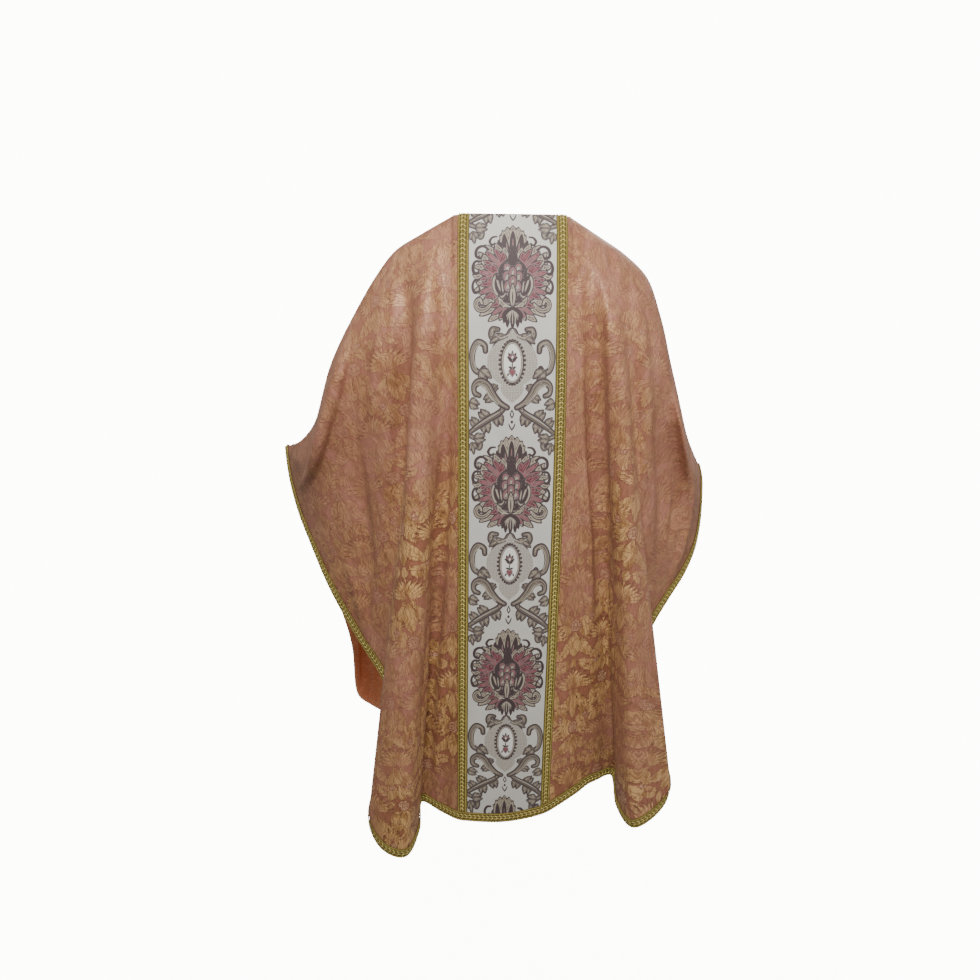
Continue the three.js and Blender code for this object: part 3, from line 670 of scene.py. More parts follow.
def frond_crown(tree, place, centre, reach, fronds):
    out = add_dot(tree, place, (1, 0, -centre[0]))
    up = add_dot(tree, place, (0, -1, centre[1]))
    radius = add_reach(tree, place, centre)
    turn = add_math(tree, "ABSOLUTE", add_math(tree, "ARCTAN2", out, up))
    swept = add_math(tree, "MULTIPLY_ADD", radius, -frond_lean / reach, turn)
    half = math.pi / 2 / fronds
    swing = add_math(tree, "PINGPONG", swept, half)
    share = add_math(tree, "MULTIPLY", radius, 1 / reach)
    shape = add_math(tree, "MULTIPLY_ADD", swing, frond_taper / half, share)
    gap = add_math(tree, "MULTIPLY", add_math(tree, "SUBTRACT", half, swing), radius)
    bare = add_math(tree, "LESS_THAN", gap, frond_gap)
    low = add_math(tree, "GREATER_THAN", turn, frond_last)
    shape = add_math(tree, "ADD", shape, low)
    return shape, add_math(tree, "ADD", shape, bare)


def scroll(tree, place, centre, reach, sense):
    out = add_dot(tree, place, (sense, 0, -centre[0] * sense))
    up = add_dot(tree, place, (0, -1, centre[1]))
    radius = add_reach(tree, place, centre)
    turn = add_math(tree, "ARCTAN2", out, up)
    coil = add_math(tree, "MULTIPLY_ADD", radius, scroll_turns / reach, turn)
    wave = add_math(tree, "PINGPONG", coil, math.pi)
    outside = add_math(tree, "MULTIPLY", radius, 1 / reach)
    return outside, add_math(tree, "MAXIMUM", outside, add_math(tree, "MULTIPLY", wave, scroll_line))


def berry_bunch(tree, place, centre, radius, cells):
    outside = add_math(tree, "MULTIPLY", add_reach(tree, place, centre), 1 / radius)
    return outside, add_math(tree, "MAXIMUM", outside, cells)


def foliage_group():
    """Mask of the damask's satin foliage from places on the flat cut, in metres."""
    tree = bpy.data.node_groups.new("damask foliage", "ShaderNodeTree")
    tree.interface.new_socket("Flat", in_out="INPUT", socket_type="NodeSocketVector")
    for name in ("Foliage", "Accent", "Veins", "Painted rim shade"):
        tree.interface.new_socket(name, in_out="OUTPUT", socket_type="NodeSocketFloat")
    given = tree.nodes.new("NodeGroupInput")
    given_out = tree.nodes.new("NodeGroupOutput")
    wobble = tree.nodes.new("ShaderNodeTexNoise")
    wobble.noise_dimensions = "2D"
    wobble.inputs["Scale"].default_value = damask_wobble["scale"]
    wobble.inputs["Detail"].default_value = 2
    tree.links.new(given.outputs["Flat"], wobble.inputs["Vector"])
    split = tree.nodes.new("ShaderNodeSeparateXYZ")
    tree.links.new(given.outputs["Flat"], split.inputs[0])
    reach = damask_wobble["reach"]
    shift = add_math(tree, "MULTIPLY_ADD", wobble.outputs["Fac"], 2 * reach, -reach)
    across = add_math(tree, "MULTIPLY_ADD", split.outputs["X"], 1000 / damask_scale, shift)
    down = add_math(tree, "MULTIPLY_ADD", split.outputs["Y"], -1000 / damask_scale, shift)
    across = add_math(tree, "ADD", across, damask_start[0])
    down = add_math(tree, "ADD", down, damask_start[1])
    folded = add_math(tree, "PINGPONG", across, damask_half_width)
    wrapped = add_math(tree, "FLOORED_MODULO", down, damask_repeat)
    joined = tree.nodes.new("ShaderNodeCombineXYZ")
    tree.links.new(folded, joined.inputs[0])
    tree.links.new(wrapped, joined.inputs[1])
    joined.inputs[2].default_value = 1
    place = joined.outputs[0]
    berries = cell_distance(tree, place, berry_scale, berry_scatter)
    ring = add_math(tree, "ABSOLUTE", add_math(tree, "SUBTRACT", berries, berry_ring))
    cells = add_math(tree, "MULTIPLY", ring, berry_line)
    shapes = [lobed_leaf(tree, place, *leaf) for leaf in damask_leaves]
    shapes += [frond_crown(tree, place, *crown) for crown in damask_crowns]
    shapes += [scroll(tree, place, *row) for row in damask_scrolls]
    shapes += [berry_bunch(tree, place, *row, cells) for row in damask_bunches]
    # Each shape lies on the ones before it, with a bare line round it
    nearest = shapes[0][1]
    for outline, inside in shapes[1:]:
        round_it = add_math(tree, "LESS_THAN", outline, bare_reach)
        round_it = add_math(tree, "MULTIPLY", round_it, bare_weight)
        nearest = add_math(tree, "MINIMUM", add_math(tree, "MAXIMUM", nearest, round_it), inside)
    leaf = map_range(tree, nearest, 1.03, 0.97)
    tree.links.new(leaf, given_out.inputs["Foliage"])
    # The berries are woven paler
    spot = shapes[-len(damask_bunches)][0]
    for outline, _ in shapes[1 - len(damask_bunches):]:
        spot = add_math(tree, "MINIMUM", spot, outline)
    accent = add_math(tree, "MULTIPLY", add_math(tree, "LESS_THAN", spot, 1), leaf)
    tree.links.new(accent, given_out.inputs["Accent"])
    # Fine curling veins run through the leaves, and less plainly through the ground
    veins = tree.nodes.new("ShaderNodeTexWave")
    for key, value in {"Scale": 40, "Distortion": 24, "Detail": 1.0, "Detail Scale": 0.7}.items():
        veins.inputs[key].default_value = value
    tree.links.new(given.outputs["Flat"], veins.inputs["Vector"])
    tree.links.new(veins.outputs["Fac"], given_out.inputs["Veins"])
    # Painted shade: the ground is darker close round every leaf, as in a crevice at its edge
    painted_rim_shade = map_range(tree, nearest, 1.22, 1.04)
    bare = add_math(tree, "SUBTRACT", 1, leaf)
    tree.links.new(add_math(tree, "MULTIPLY", painted_rim_shade, bare), given_out.inputs["Painted rim shade"])
    return tree


def new_material(name, inputs):
    """A material with its tree and shader; inputs sets some of the shader's sockets."""
    material = bpy.data.materials.new(name)
    material.use_nodes = True
    shader = material.node_tree.nodes["Principled BSDF"]
    for key, value in inputs.items():
        shader.inputs[key].default_value = value
    return material, material.node_tree, shader


def flat_vector(tree):
    node = tree.nodes.new("ShaderNodeUVMap")
    node.uv_map = "flat"
    return node.outputs[0]


def flat_foliage(tree):
    """Places on the flat cut, and the masks of the foliage there."""
    flat = flat_vector(tree)
    node = tree.nodes.new("ShaderNodeGroup")
    node.node_tree = foliage
    tree.links.new(flat, node.inputs[0])
    return flat, node.outputs


def add_bump(tree, shader, height, strength, distance):
    bump = tree.nodes.new("ShaderNodeBump")
    bump.inputs["Strength"].default_value = strength
    bump.inputs["Distance"].default_value = distance
    tree.links.new(height, bump.inputs["Height"])
    tree.links.new(bump.outputs["Normal"], shader.inputs["Normal"])


def mix_colors(tree, share, first, second):
    node = tree.nodes.new("ShaderNodeMix")
    node.data_type = "RGBA"
    for socket, value in ((node.inputs[0], share), (node.inputs[6], first), (node.inputs[7], second)):
        if isinstance(value, tuple):
            socket.default_value = (*value, 1)
        elif isinstance(value, (int, float)):
            socket.default_value = value
        else:
            tree.links.new(value, socket)
    return node.outputs[2]


def cloth_noise(tree, vector, scale, detail=2):
    node = tree.nodes.new("ShaderNodeTexNoise")
    node.inputs["Scale"].default_value = scale
    node.inputs["Detail"].default_value = detail
    tree.links.new(vector, node.inputs["Vector"])
    return node.outputs["Fac"]


def thread_noise(tree, vector, across, down):
    """Noise drawn out into threads: cells to a metre across the warp and along it."""
    node = tree.nodes.new("ShaderNodeVectorMath")
    node.operation = "MULTIPLY"
    tree.links.new(vector, node.inputs[0])
    node.inputs[1].default_value = (across, down, 1)
    return cloth_noise(tree, node.outputs["Vector"], 1, 2)


foliage = foliage_group()
# Colours of the damask: the pale pink for low angles, the pink of the long channels and the paler ground are
# painted sheen, and the near-black round the leaves is painted shade
damask_colors = {
    "ground": ((0.180, 0.066, 0.020), (0.300, 0.112, 0.080)), "painted pale ground": (0.318, 0.149, 0.099),
    "painted pink sheen": (0.360, 0.152, 0.110), "light vein": (0.46, 0.25, 0.165), "painted_rim_shade": (0.060, 0.019, 0.009),
    "gold": ((0.46, 0.262, 0.084), (0.68, 0.42, 0.190)), "dull gold": (0.310, 0.162, 0.050),
    "berry": (0.50, 0.30, 0.20), "painted_graze_sheen": (0.66, 0.34, 0.235),
}


def damask_material():
    material, tree, shader = new_material("damask", {
        "Specular Tint": (1.0, 0.74, 0.55, 1), "Sheen Weight": 0.04, "Sheen Roughness": 0.4,
        "Sheen Tint": (1.0, 0.72, 0.58, 1),
    })
    flat, masks = flat_foliage(tree)
    patches = cloth_noise(tree, flat, 6.5)
    thread = thread_noise(tree, flat, 620, 70)
    dark_vein = map_range(tree, masks["Veins"], 0.26, 0.06, 0, 0.62)
    leaf = add_math(tree, "MULTIPLY", masks["Foliage"], add_math(tree, "SUBTRACT", 1, dark_vein))
    # Painted glint: the gold is painted as catching the light in streaky patches, and as dull gold between
    # them
    painted_glint = map_range(tree, thread_noise(tree, flat, 90, 34), 0.36, 0.54)
    gold = mix_colors(tree, patches, *damask_colors["gold"])
    gold = mix_colors(tree, painted_glint, damask_colors["dull gold"], gold)
    gold = mix_colors(tree, add_math(tree, "MULTIPLY", masks["Accent"], 0.7), gold, damask_colors["berry"])
    # Painted sheen: the satin's contrast is painted strong in some places and weak in others, least on the
    # sleeves and high up, standing in for how the satin catches the light
    apart = tree.nodes.new("ShaderNodeSeparateXYZ")
    tree.links.new(flat, apart.inputs[0])
    strength = map_range(tree, cloth_noise(tree, flat, 4.2, 1), 0.40, 0.54, 0.42)
    sleeve = map_range(tree, add_math(tree, "ABSOLUTE", apart.outputs["X"]), 0.26, 0.40, 1, 0.46)
    low = map_range(tree, apart.outputs["Y"], -0.74, -0.94)
    upper = map_range(tree, apart.outputs["Y"], -0.60, -0.28, 1, 0.50)
    painted_sheen = add_math(tree, "MULTIPLY", strength, add_math(tree, "MAXIMUM", sleeve, low))
    painted_sheen = add_math(tree, "MULTIPLY", painted_sheen, upper)
    # Painted sheen: where the satin's contrast is painted weak, the ground is painted paler, nearer to the
    # satin in strength, and painted pink in long channels
    light_vein = map_range(tree, masks["Veins"], 0.86, 0.98, 0, 0.13)
    ground = mix_colors(tree, patches, *damask_colors["ground"])
    ground = mix_colors(tree, light_vein, ground, damask_colors["light vein"])
    faint = add_math(tree, "MULTIPLY_ADD", painted_sheen, -0.54, 0.54)
    ground = mix_colors(tree, faint, ground, damask_colors["painted pale ground"])
    sheen_channels = map_range(tree, thread_noise(tree, flat, 26, 9), 0.50, 0.57)
    rosy = add_math(tree, "MULTIPLY", sheen_channels, add_math(tree, "MULTIPLY_ADD", painted_sheen, -0.90, 0.90))
    ground = mix_colors(tree, rosy, ground, damask_colors["painted pink sheen"])
    # Painted shade round the leaves, stronger where the satin's contrast is painted strong
    painted_rim_shade = add_math(tree, "MULTIPLY", masks["Painted rim shade"], add_math(tree, "MULTIPLY_ADD", painted_sheen, 0.62, 0.08))
    ground = mix_colors(tree, painted_rim_shade, ground, damask_colors["painted_rim_shade"])
    color = mix_colors(tree, add_math(tree, "MULTIPLY", leaf, painted_sheen), ground, gold)
    threaded = tree.nodes.new("ShaderNodeVectorMath")
    threaded.operation = "SCALE"
    tree.links.new(color, threaded.inputs[0])
    tree.links.new(add_math(tree, "MULTIPLY_ADD", thread, 1.3, 0.32), threaded.inputs["Scale"])
    # Painted sheen: seen at a low angle, the base colour is painted paler and pinker
    graze = tree.nodes.new("ShaderNodeLayerWeight")
    graze.inputs["Blend"].default_value = 0.3
    painted_graze_sheen = add_math(tree, "MULTIPLY", graze.outputs["Facing"], 0.20)
    color = mix_colors(tree, painted_graze_sheen, threaded.outputs[0], damask_colors["painted_graze_sheen"])
    tree.links.new(color, shader.inputs["Base Color"])
    tree.links.new(add_math(tree, "MULTIPLY_ADD", leaf, -0.13, 0.56), shader.inputs["Roughness"])
    add_bump(tree, shader, add_math(tree, "MULTIPLY_ADD", thread, 0.5, leaf), 0.75, 0.0010)
    return material


def glowing_wrong_side_material():
    """The damask's back is its own orange, painted bright orange as a painted glow of light shining through
    the cloth, with the leaves faint on it.
    """
    material, tree, shader = new_material("wrong side and painted glow", {"Roughness": 0.6})
    flat, masks = flat_foliage(tree)
    thread = add_math(tree, "MULTIPLY", cloth_noise(tree, flat, 300, 1), 0.5)
    share = add_math(tree, "MULTIPLY_ADD", masks["Foliage"], 0.45, thread)
    color = mix_colors(tree, share, (0.98, 0.45, 0.23), (0.72, 0.27, 0.125))
    tree.links.new(color, shader.inputs["Base Color"])
    return material


damask = damask_material()
wrong_side_and_glow = glowing_wrong_side_material()

# For each panel: the width of a cell at the edge in millimetres, and rows of cells in each height
fineness = {"back": (6.5, (28, 48, 100, 4)), "front": (8, (24, 40, 84, 4))}
even_at_hem = 0.75


def fine_columns(form, first, last, step):
    """Columns between two fold lines, about step millimetres apart where they meet the edge."""
    hem_run = running_length(smooth_through(form["hems"], np.linspace(first, last, 400)))
    count = int(math.ceil(hem_run[-1] / step))
    by_hem = np.interp(np.linspace(0, hem_run[-1], count + 1), hem_run, np.linspace(first, last, 400))
    by_line = np.linspace(first, last, count + 1)
    return even_at_hem * by_hem + (1 - even_at_hem) * by_line


def fine_heights(counts):
    parts = [np.linspace(k, k + 1, count, endpoint=False) for k, count in enumerate(counts)]
    return np.concatenate(parts + [[len(counts)]])


for face, form in forms.items():
    step, counts = fineness[face]
    heights = fine_heights(counts)
    last = len(form["tops"]) - 1
    for half, (first_line, last_line) in {
        "right": (0, form["middle"]), "left": (form["middle"], last),
    }.items():
        columns = fine_columns(form, first_line, last_line, step)
        points, outward = hang_cloth(form, columns, heights)
        flat = flat_places(cuts[face], columns, heights)
        mesh, _ = sheet_mesh(f"{face}_{half}_damask", points + outward * panel_face, outward, flat)
        piece = add_piece(f"{face}_{half}_damask", mesh, [damask, wrong_side_and_glow])
        wall = piece.modifiers.new("wall", "SOLIDIFY")
        wall.thickness = panel_thickness * MM
        wall.offset = -1
        wall.material_offset = 1
        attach(piece, "root")
        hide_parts(f"{face}_panel")

# ------------------------------------------------------------------------------------------------
# The orphreys: an ivory jacquard band down the middle of each panel, sewn on along both edges. Its
# repeat is a mirrored bouquet of leaves and, under it, an oval with a sprig between leafy scrolls.
orphrey_face = 2.1
orphrey_half = 79
orphrey_grid = {"back": (1.3, 1.7), "front": (2.0, 2.6)}
orphrey_repeat = 382
outline_weight = 2.1
motif_width = 0.94
orphrey_first = {"back": 21, "front": 30}
woven_order = ("stipple", "beige", "umber", "rose", "taupe", "white")

# The right half of one repeat in millimetres from its middle line and down from its top, the
# hindmost first: shape, colour, outline, sizes. A leaf has base, tip, half width, bend, lobes; a
# fan base, tip, half width of a finger, spread, fingers; an oval centre, reach, turn; a vine its
# points and its half widths at both ends and half way; beads centre, reach, size and number.
orphrey_motifs = [
    # the bouquet's shell and dark palmette
    ("fan", "beige", 1.3, (0, 42), (0, 5), 6.0, 1.25, 9),
    ("vine", "taupe", 0.0, [(30, 26), (38, 27), (43, 35), (38, 41), (33, 37)], (1.6, 2.6, 1.3)),
    ("fan", "taupe", 0.0, (0, 76), (0, 13), 6.4, 0.85, 7),
    ("fan", "rose", 0.0, (0, 74), (0, 28), 1.3, 0.60, 5),
    # beige leaves behind the rose ones
    ("fan", "beige", 1.3, (16, 84), (58, 48), 5.6, 0.85, 6),
    ("fan", "beige", 1.3, (22, 100), (74, 88), 5.6, 0.75, 6),
    ("fan", "beige", 1.3, (18, 118), (72, 134), 5.6, 0.75, 6),
    ("fan", "beige", 1.3, (10, 140), (58, 168), 5.2, 0.7, 5),
    # curls down the outer edge
    ("vine", "taupe", 0.0, [(44, 50), (56, 44), (67, 50), (68, 62), (59, 66), (55, 59)], (1.8, 3.4, 1.6)),
    ("vine", "taupe", 0.0, [(58, 72), (69, 72), (75, 82), (71, 93), (62, 92), (62, 85)], (1.8, 3.6, 1.6)),
    ("vine", "taupe", 0.0, [(60, 104), (71, 106), (75, 117), (69, 127), (60, 124), (61, 117)],
     (1.8, 3.4, 1.6)),
    ("vine", "beige", 1.2, [(38, 148), (50, 158), (63, 156), (67, 146), (59, 140), (55, 147)],
     (2.2, 3.6, 1.6)),
    # rose leaves
    ("fan", "rose", 1.2, (18, 82), (49, 55), 4.0, 0.80, 5),
    ("fan", "rose", 1.2, (26, 99), (62, 90), 4.0, 0.75, 5),
    ("fan", "rose", 1.2, (22, 116), (60, 128), 4.0, 0.75, 5),
    ("fan", "rose", 1.2, (8, 146), (36, 166), 3.6, 0.8, 5),
    ("leaf", "taupe", 0.0, (20, 80), (42, 61), 0.9, 0, 0),
    ("leaf", "taupe", 0.0, (28, 98), (54, 92), 0.9, 0, 0),
    ("leaf", "taupe", 0.0, (24, 116), (52, 126), 0.9, 0, 0),
    ("leaf", "taupe", 0.0, (10, 147), (32, 163), 0.8, 0, 0),
    # the middle: bulbs with a column of scales between them
    ("oval", "taupe", 0.0, (0, 106), (30, 42), 0), ("leaf", "taupe", 0.0, (0, 170), (0, 40), 16, 0, 5),
    ("oval", "beige", 0.9, (24, 116), (11.5, 21), 0.22), ("oval", "taupe", 0.0, (23, 116), (9.5, 18), 0.22),
    ("oval", "beige", 0.0, (26, 113), (1.5, 12), 0.30), ("oval", "beige", 0.0, (19, 117), (1.1, 10), 0.12),
    ("fan", "taupe", 0.0, (22, 108), (24, 86), 3.2, 0.5, 3),
    ("oval", "rose", 1.1, (10, 84), (6.0, 8.5), 0.3), ("oval", "beige", 0.6, (10, 85), (2.2, 4.0), 0.3),
    ("oval", "rose", 1.1, (11, 99), (6.2, 9.0), 0.1), ("oval", "beige", 0.6, (11, 100), (2.2, 4.2), 0.1),
    ("oval", "rose", 1.1, (9, 116), (6.0, 9.0), -0.2), ("oval", "beige", 0.6, (9, 117), (2.0, 4.2), -0.2),
    ("oval", "rose", 1.1, (0, 92), (6.4, 9.5), 0), ("oval", "beige", 0.6, (0, 93), (2.2, 4.6), 0),
    ("oval", "rose", 1.1, (0, 108), (6.2, 9.5), 0), ("oval", "beige", 0.6, (0, 109), (2.2, 4.6), 0),
    ("leaf", "beige", 1.2, (0, 160), (0, 112), 5.2, 0, 0),
    ("leaf", "taupe", 0.0, (0, 154), (0, 122), 1.4, 0, 0),
    ("leaf", "beige", 1.2, (2, 152), (26, 134), 4.0, 0.2, 3),
    # dark leaf tips under it
    ("fan", "taupe", 0.0, (0, 152), (0, 194), 4.4, 0.75, 7),
    ("fan", "beige", 0.0, (0, 158), (0, 184), 0.9, 0.75, 7),
    # scrolls over the oval
    ("vine", "umber", 1.4, [(3, 196), (10, 208), (24, 212), (36, 205), (35, 193), (26, 193)],
     (3.0, 4.6, 2.0)),
    ("fan", "umber", 1.2, (14, 204), (38, 222), 3.2, 0.5, 4),
    ("vine", "beige", 0.0, [(8, 203), (20, 208), (32, 202)], (0.8, 1.0, 0.6)),
    # the oval on its stippled ground
    ("oval", "stipple", 0.0, (0, 252), (45, 44), 0), ("leaf", "stipple", 0.0, (0, 262), (0, 326), 21, 0, 0),
    ("leaf", "stipple", 0.0, (0, 236), (0, 192), 9, 0, 0),
    ("beads", "taupe", 0.0, (0, 252), (23.0, 40.0), 2.6, 30),
    ("oval", "taupe", 0.0, (0, 252), (21.5, 38.5), 0), ("oval", "beige", 0.0, (0, 252), (19.2, 36), 0),
    ("oval", "taupe", 0.0, (0, 252), (17.2, 34), 0), ("oval", "white", 0.0, (0, 252), (16.0, 32.8), 0),
    ("fan", "taupe", 0.0, (0, 246), (0, 230), 2.2, 1.1, 5), ("oval", "rose", 0.9, (0, 244), (6.2, 6.6), 0),
    ("oval", "white", 0.6, (0, 243), (1.8, 2.2), 0),
    ("leaf", "taupe", 0.0, (0, 255), (12, 243), 2.2, -0.2, 0),
    ("leaf", "taupe", 0.0, (0, 266), (0, 250), 1.3, 0, 0),
    ("leaf", "taupe", 0.0, (0, 266), (9, 260), 2.0, -0.2, 0),
    ("fan", "rose", 0.8, (0, 264), (0, 277), 2.2, 0.6, 3), ("oval", "taupe", 0.0, (8, 274), (1.7, 3.0), 0),
    # crescents at the edges
    ("vine", "umber", 1.5, [(48, 232), (50, 221), (62, 216), (73, 228), (76, 246), (70, 264),
                            (58, 270), (51, 262)],
     (2.2, 4.8, 2.0)),
    ("vine", "beige", 0.0, [(58, 220), (68, 228), (72, 246), (66, 262)], (0.7, 1.1, 0.7)),
    ("fan", "umber", 1.2, (58, 266), (40, 284), 3.2, 0.6, 4),
    # leafy scrolls that meet in the middle and run out to both edges
    ("fan", "umber", 1.3, (28, 346), (22, 368), 3.0, 0.6, 4),
    ("fan", "umber", 1.3, (44, 354), (60, 340), 3.2, 0.6, 4),
    ("fan", "umber", 1.3, (50, 360), (46, 382), 3.2, 0.6, 4),
    ("fan", "umber", 1.3, (64, 368), (80, 354), 3.2, 0.6, 4),
    ("vine", "umber", 1.5, [(12, 332), (24, 344), (44, 356), (62, 368), (82, 380)], (2.2, 3.6, 2.2)),
    ("fan", "umber", 1.3, (34, 312), (50, 322), 3.0, 0.6, 4),
    ("fan", "umber", 1.3, (42, 300), (26, 296), 3.2, 0.6, 4),
    ("vine", "umber", 1.5, [(60, 312), (70, 307), (71, 295), (60, 287), (46, 292), (35, 310),
                            (22, 326), (9, 334)],
     (2.2, 5.4, 2.4)),
    ("vine", "beige", 0.0, [(62, 293), (50, 296), (40, 312), (26, 328)], (0.7, 1.2, 0.7)),
    ("vine", "beige", 0.0, [(22, 342), (44, 355), (70, 371)], (0.6, 1.0, 0.6)),
    ("fan", "umber", 1.2, (82, 324), (60, 332), 3.2, 0.6, 4),
    # sprays at the edges
    ("vine", "umber", 1.2, [(84, 4), (68, 10), (58, 20), (60, 28), (67, 26)], (2.4, 3.2, 1.6)),
    ("fan", "umber", 1.2, (70, 10), (48, 8), 3.0, 0.6, 4),
    ("fan", "umber", 1.2, (76, 18), (72, 38), 3.0, 0.6, 3),
    # drops on the middle line
    ("leaf", "taupe", 0.0, (0, 336), (0, 354), 4.0, 0, 0),
    ("leaf", "white", 0.0, (0, 341), (0, 350), 1.3, 0, 0), ("oval", "taupe", 0.0, (0, 360), (2.6, 3.0), 0),
    ("vine", "taupe", 0.0, [(0, 375), (4, 369), (6, 363)], (1.4, 1.4, 0.9)),
]


def leaf_inside(x, y, base, tip, half_width, bend, lobes, bluntness=1):
    """How far each place is inside a leaf, in millimetres, negative outside."""
    run_x, run_y = tip[0] - base[0], tip[1] - base[1]
    length = math.hypot(run_x, run_y)
    along = ((x - base[0]) * run_x + (y - base[1]) * run_y) / length**2
    aside = ((y - base[1]) * run_x - (x - base[0]) * run_y) / length
    aside = np.abs(aside - bend * length * 4 * along * (1 - along))
    width = half_width * np.clip(np.sin(math.pi * np.clip(along, 0, 1) ** 1.25), 0, 1) ** bluntness
    if lobes:
        width = width * (0.62 + 0.38 * np.abs(np.sin(math.pi * lobes * (along - 0.28 * aside / half_width))))
    past = np.maximum(-along, along - 1) * length
    return np.where(past > 0, -np.hypot(np.maximum(past, 0), aside), width - aside)


finger_falls_off, finger_bend, finger_bluntness = 0.32, 0.07, 0.62


def fan_inside(x, y, base, tip, half_width, spread, fingers):
    """A leaf of several rounded fingers that spread from one base, the middle ones longest."""
    length = math.hypot(tip[0] - base[0], tip[1] - base[1])
    heading = math.atan2(tip[1] - base[1], tip[0] - base[0])
    best = np.full(x.shape, -1e3)
    for turn in np.linspace(-spread, spread, fingers):
        reach = length * (1 - finger_falls_off * abs(turn / spread) ** 1.5)
        end = (base[0] + reach * math.cos(heading + turn), base[1] + reach * math.sin(heading + turn))
        finger = leaf_inside(x, y, base, end, half_width, finger_bend * np.sign(turn), 0, finger_bluntness)
        best = np.maximum(best, finger)
    return best


def oval_inside(x, y, centre, reach, turn):
    c, s = math.cos(turn), math.sin(turn)
    across, down = (x - centre[0]) * c + (y - centre[1]) * s, (y - centre[1]) * c - (x - centre[0]) * s
    return (1 - np.hypot(across / reach[0], down / reach[1])) * min(reach)


def beads_inside(x, y, centre, reach, size, number):
    best = np.full(x.shape, -1e3)
    for turn in np.linspace(0, 2 * math.pi, number, endpoint=False):
        bead = (centre[0] + reach[0] * math.sin(turn), centre[1] + reach[1] * math.cos(turn))
        best = np.maximum(best, size - np.hypot(x - bead[0], y - bead[1]))
    return best


def vine_inside(x, y, points, widths):
    knots = np.array(points, float)
    line = smooth_through(knots, np.linspace(0, len(knots) - 1, 5 * (len(knots) - 1) + 1))
    best = np.full(x.shape, -1e3)
    for k in range(len(line) - 1):
        share, far = nearest_on(x, y, line[k], line[k + 1])
        width = np.interp((k + share) / (len(line) - 1), (0, 0.5, 1), widths)
        best = np.maximum(best, width - far)
    return best


def motif_span(shape, sizes):
    """The lowest and highest place down the repeat that a motif can reach."""
    if shape == "vine":
        downs = [point[1] for point in sizes[0]]
        return min(downs) - 12, max(downs) + 12
    reach = max(sizes[1]) if shape in ("oval", "beads") else math.dist(sizes[0], sizes[1])
    return sizes[0][1] - reach - 8, sizes[0][1] + reach + 8


def weave_motifs(x, y):
    """For each colour, how far every place is inside what is woven in it, in millimetres."""
    shapes = {"leaf": leaf_inside, "fan": fan_inside, "oval": oval_inside, "beads": beads_inside,
              "vine": vine_inside}
    colors = {name: np.full(x.shape, -1e3) for name in woven_order}
    x = np.abs(x) / motif_width
    for shape, color, outline, *sizes in orphrey_motifs:
        lowest, highest = motif_span(shape, sizes)
        outline *= outline_weight
        # A motif near the repeat's end also shows in the one before or after it
        for shift in (-orphrey_repeat, 0, orphrey_repeat):
            near = (y + shift > lowest) & (y + shift < highest)
            if not near.any():
                continue
            inside = shapes[shape](x[near], y[near] + shift, *sizes)
            for name in colors:
                colors[name][near] = np.minimum(colors[name][near], -inside - outline)
            colors[color][near] = np.maximum(colors[color][near], inside)
            if outline:
                ring = outline / 2 - np.abs(inside + outline / 2)
                colors["taupe"][near] = np.maximum(colors["taupe"][near], ring)
    return colors


def even_heights(form, column, first, last, step):
    """Heights that are step millimetres apart along one column."""
    fine = np.linspace(first, last, 900)
    run = running_length(hang_cloth(form, [column - 0.01, column, column + 0.01], fine)[0][1])
    count = int(math.ceil(run[-1] / step))
    return np.interp(np.linspace(0, run[-1], count + 1), run, fine), run[-1]


band_colors = {
    "ground": ((0.455, 0.435, 0.385), (0.55, 0.53, 0.48)),
    "stipple": ((0.40, 0.37, 0.32), (0.20, 0.165, 0.13)),
    "beige": ((0.22, 0.175, 0.125), (0.46, 0.40, 0.30)),
    "umber": ((0.050, 0.036, 0.030), (0.150, 0.115, 0.090)),
    "rose": ((0.12, 0.028, 0.038), (0.31, 0.110, 0.120)),
    "taupe": ((0.020, 0.011, 0.012), (0.070, 0.042, 0.042)),
    "white": ((0.66, 0.65, 0.60), (0.66, 0.65, 0.60)),
}
engraved_colors = {
    "beige": (0.060, 0.038, 0.034), "rose": (0.045, 0.014, 0.018), "umber": (0.32, 0.27, 0.205),
}


def tapestry_material():
    material, tree, shader = new_material("tapestry", {"Roughness": 0.72, "Sheen Weight": 0.12})
    flat = flat_vector(tree)
    thread = cloth_noise(tree, flat, 520, 1)
    patches = cloth_noise(tree, flat, 30)
    speck = add_math(tree, "LESS_THAN", cell_distance(tree, flat, 330, 0.3), 0.36)
    speck = add_math(tree, "MULTIPLY", speck, 0.75)
    color = mix_colors(tree, patches, *band_colors["ground"])
    for name in woven_order:
        hue = mix_colors(tree, speck if name == "stipple" else thread, *band_colors[name])
        read = tree.nodes.new("ShaderNodeAttribute")
        read.attribute_name = name
        if name in engraved_colors:
            # Other threads run round inside each leaf, along its edge
            wavy = add_math(tree, "MULTIPLY_ADD", patches, 1.6, read.outputs["Fac"])
            line = add_math(tree, "LESS_THAN", add_math(tree, "PINGPONG", wavy, 1.5), 0.62)
            hue = mix_colors(tree, add_math(tree, "MULTIPLY", line, 0.8), hue, engraved_colors[name])
        color = mix_colors(tree, map_range(tree, read.outputs["Fac"], -0.35, 0.35), color, hue)
    tree.links.new(color, shader.inputs["Base Color"])
    add_bump(tree, shader, thread, 0.35, 0.0005)
    return material


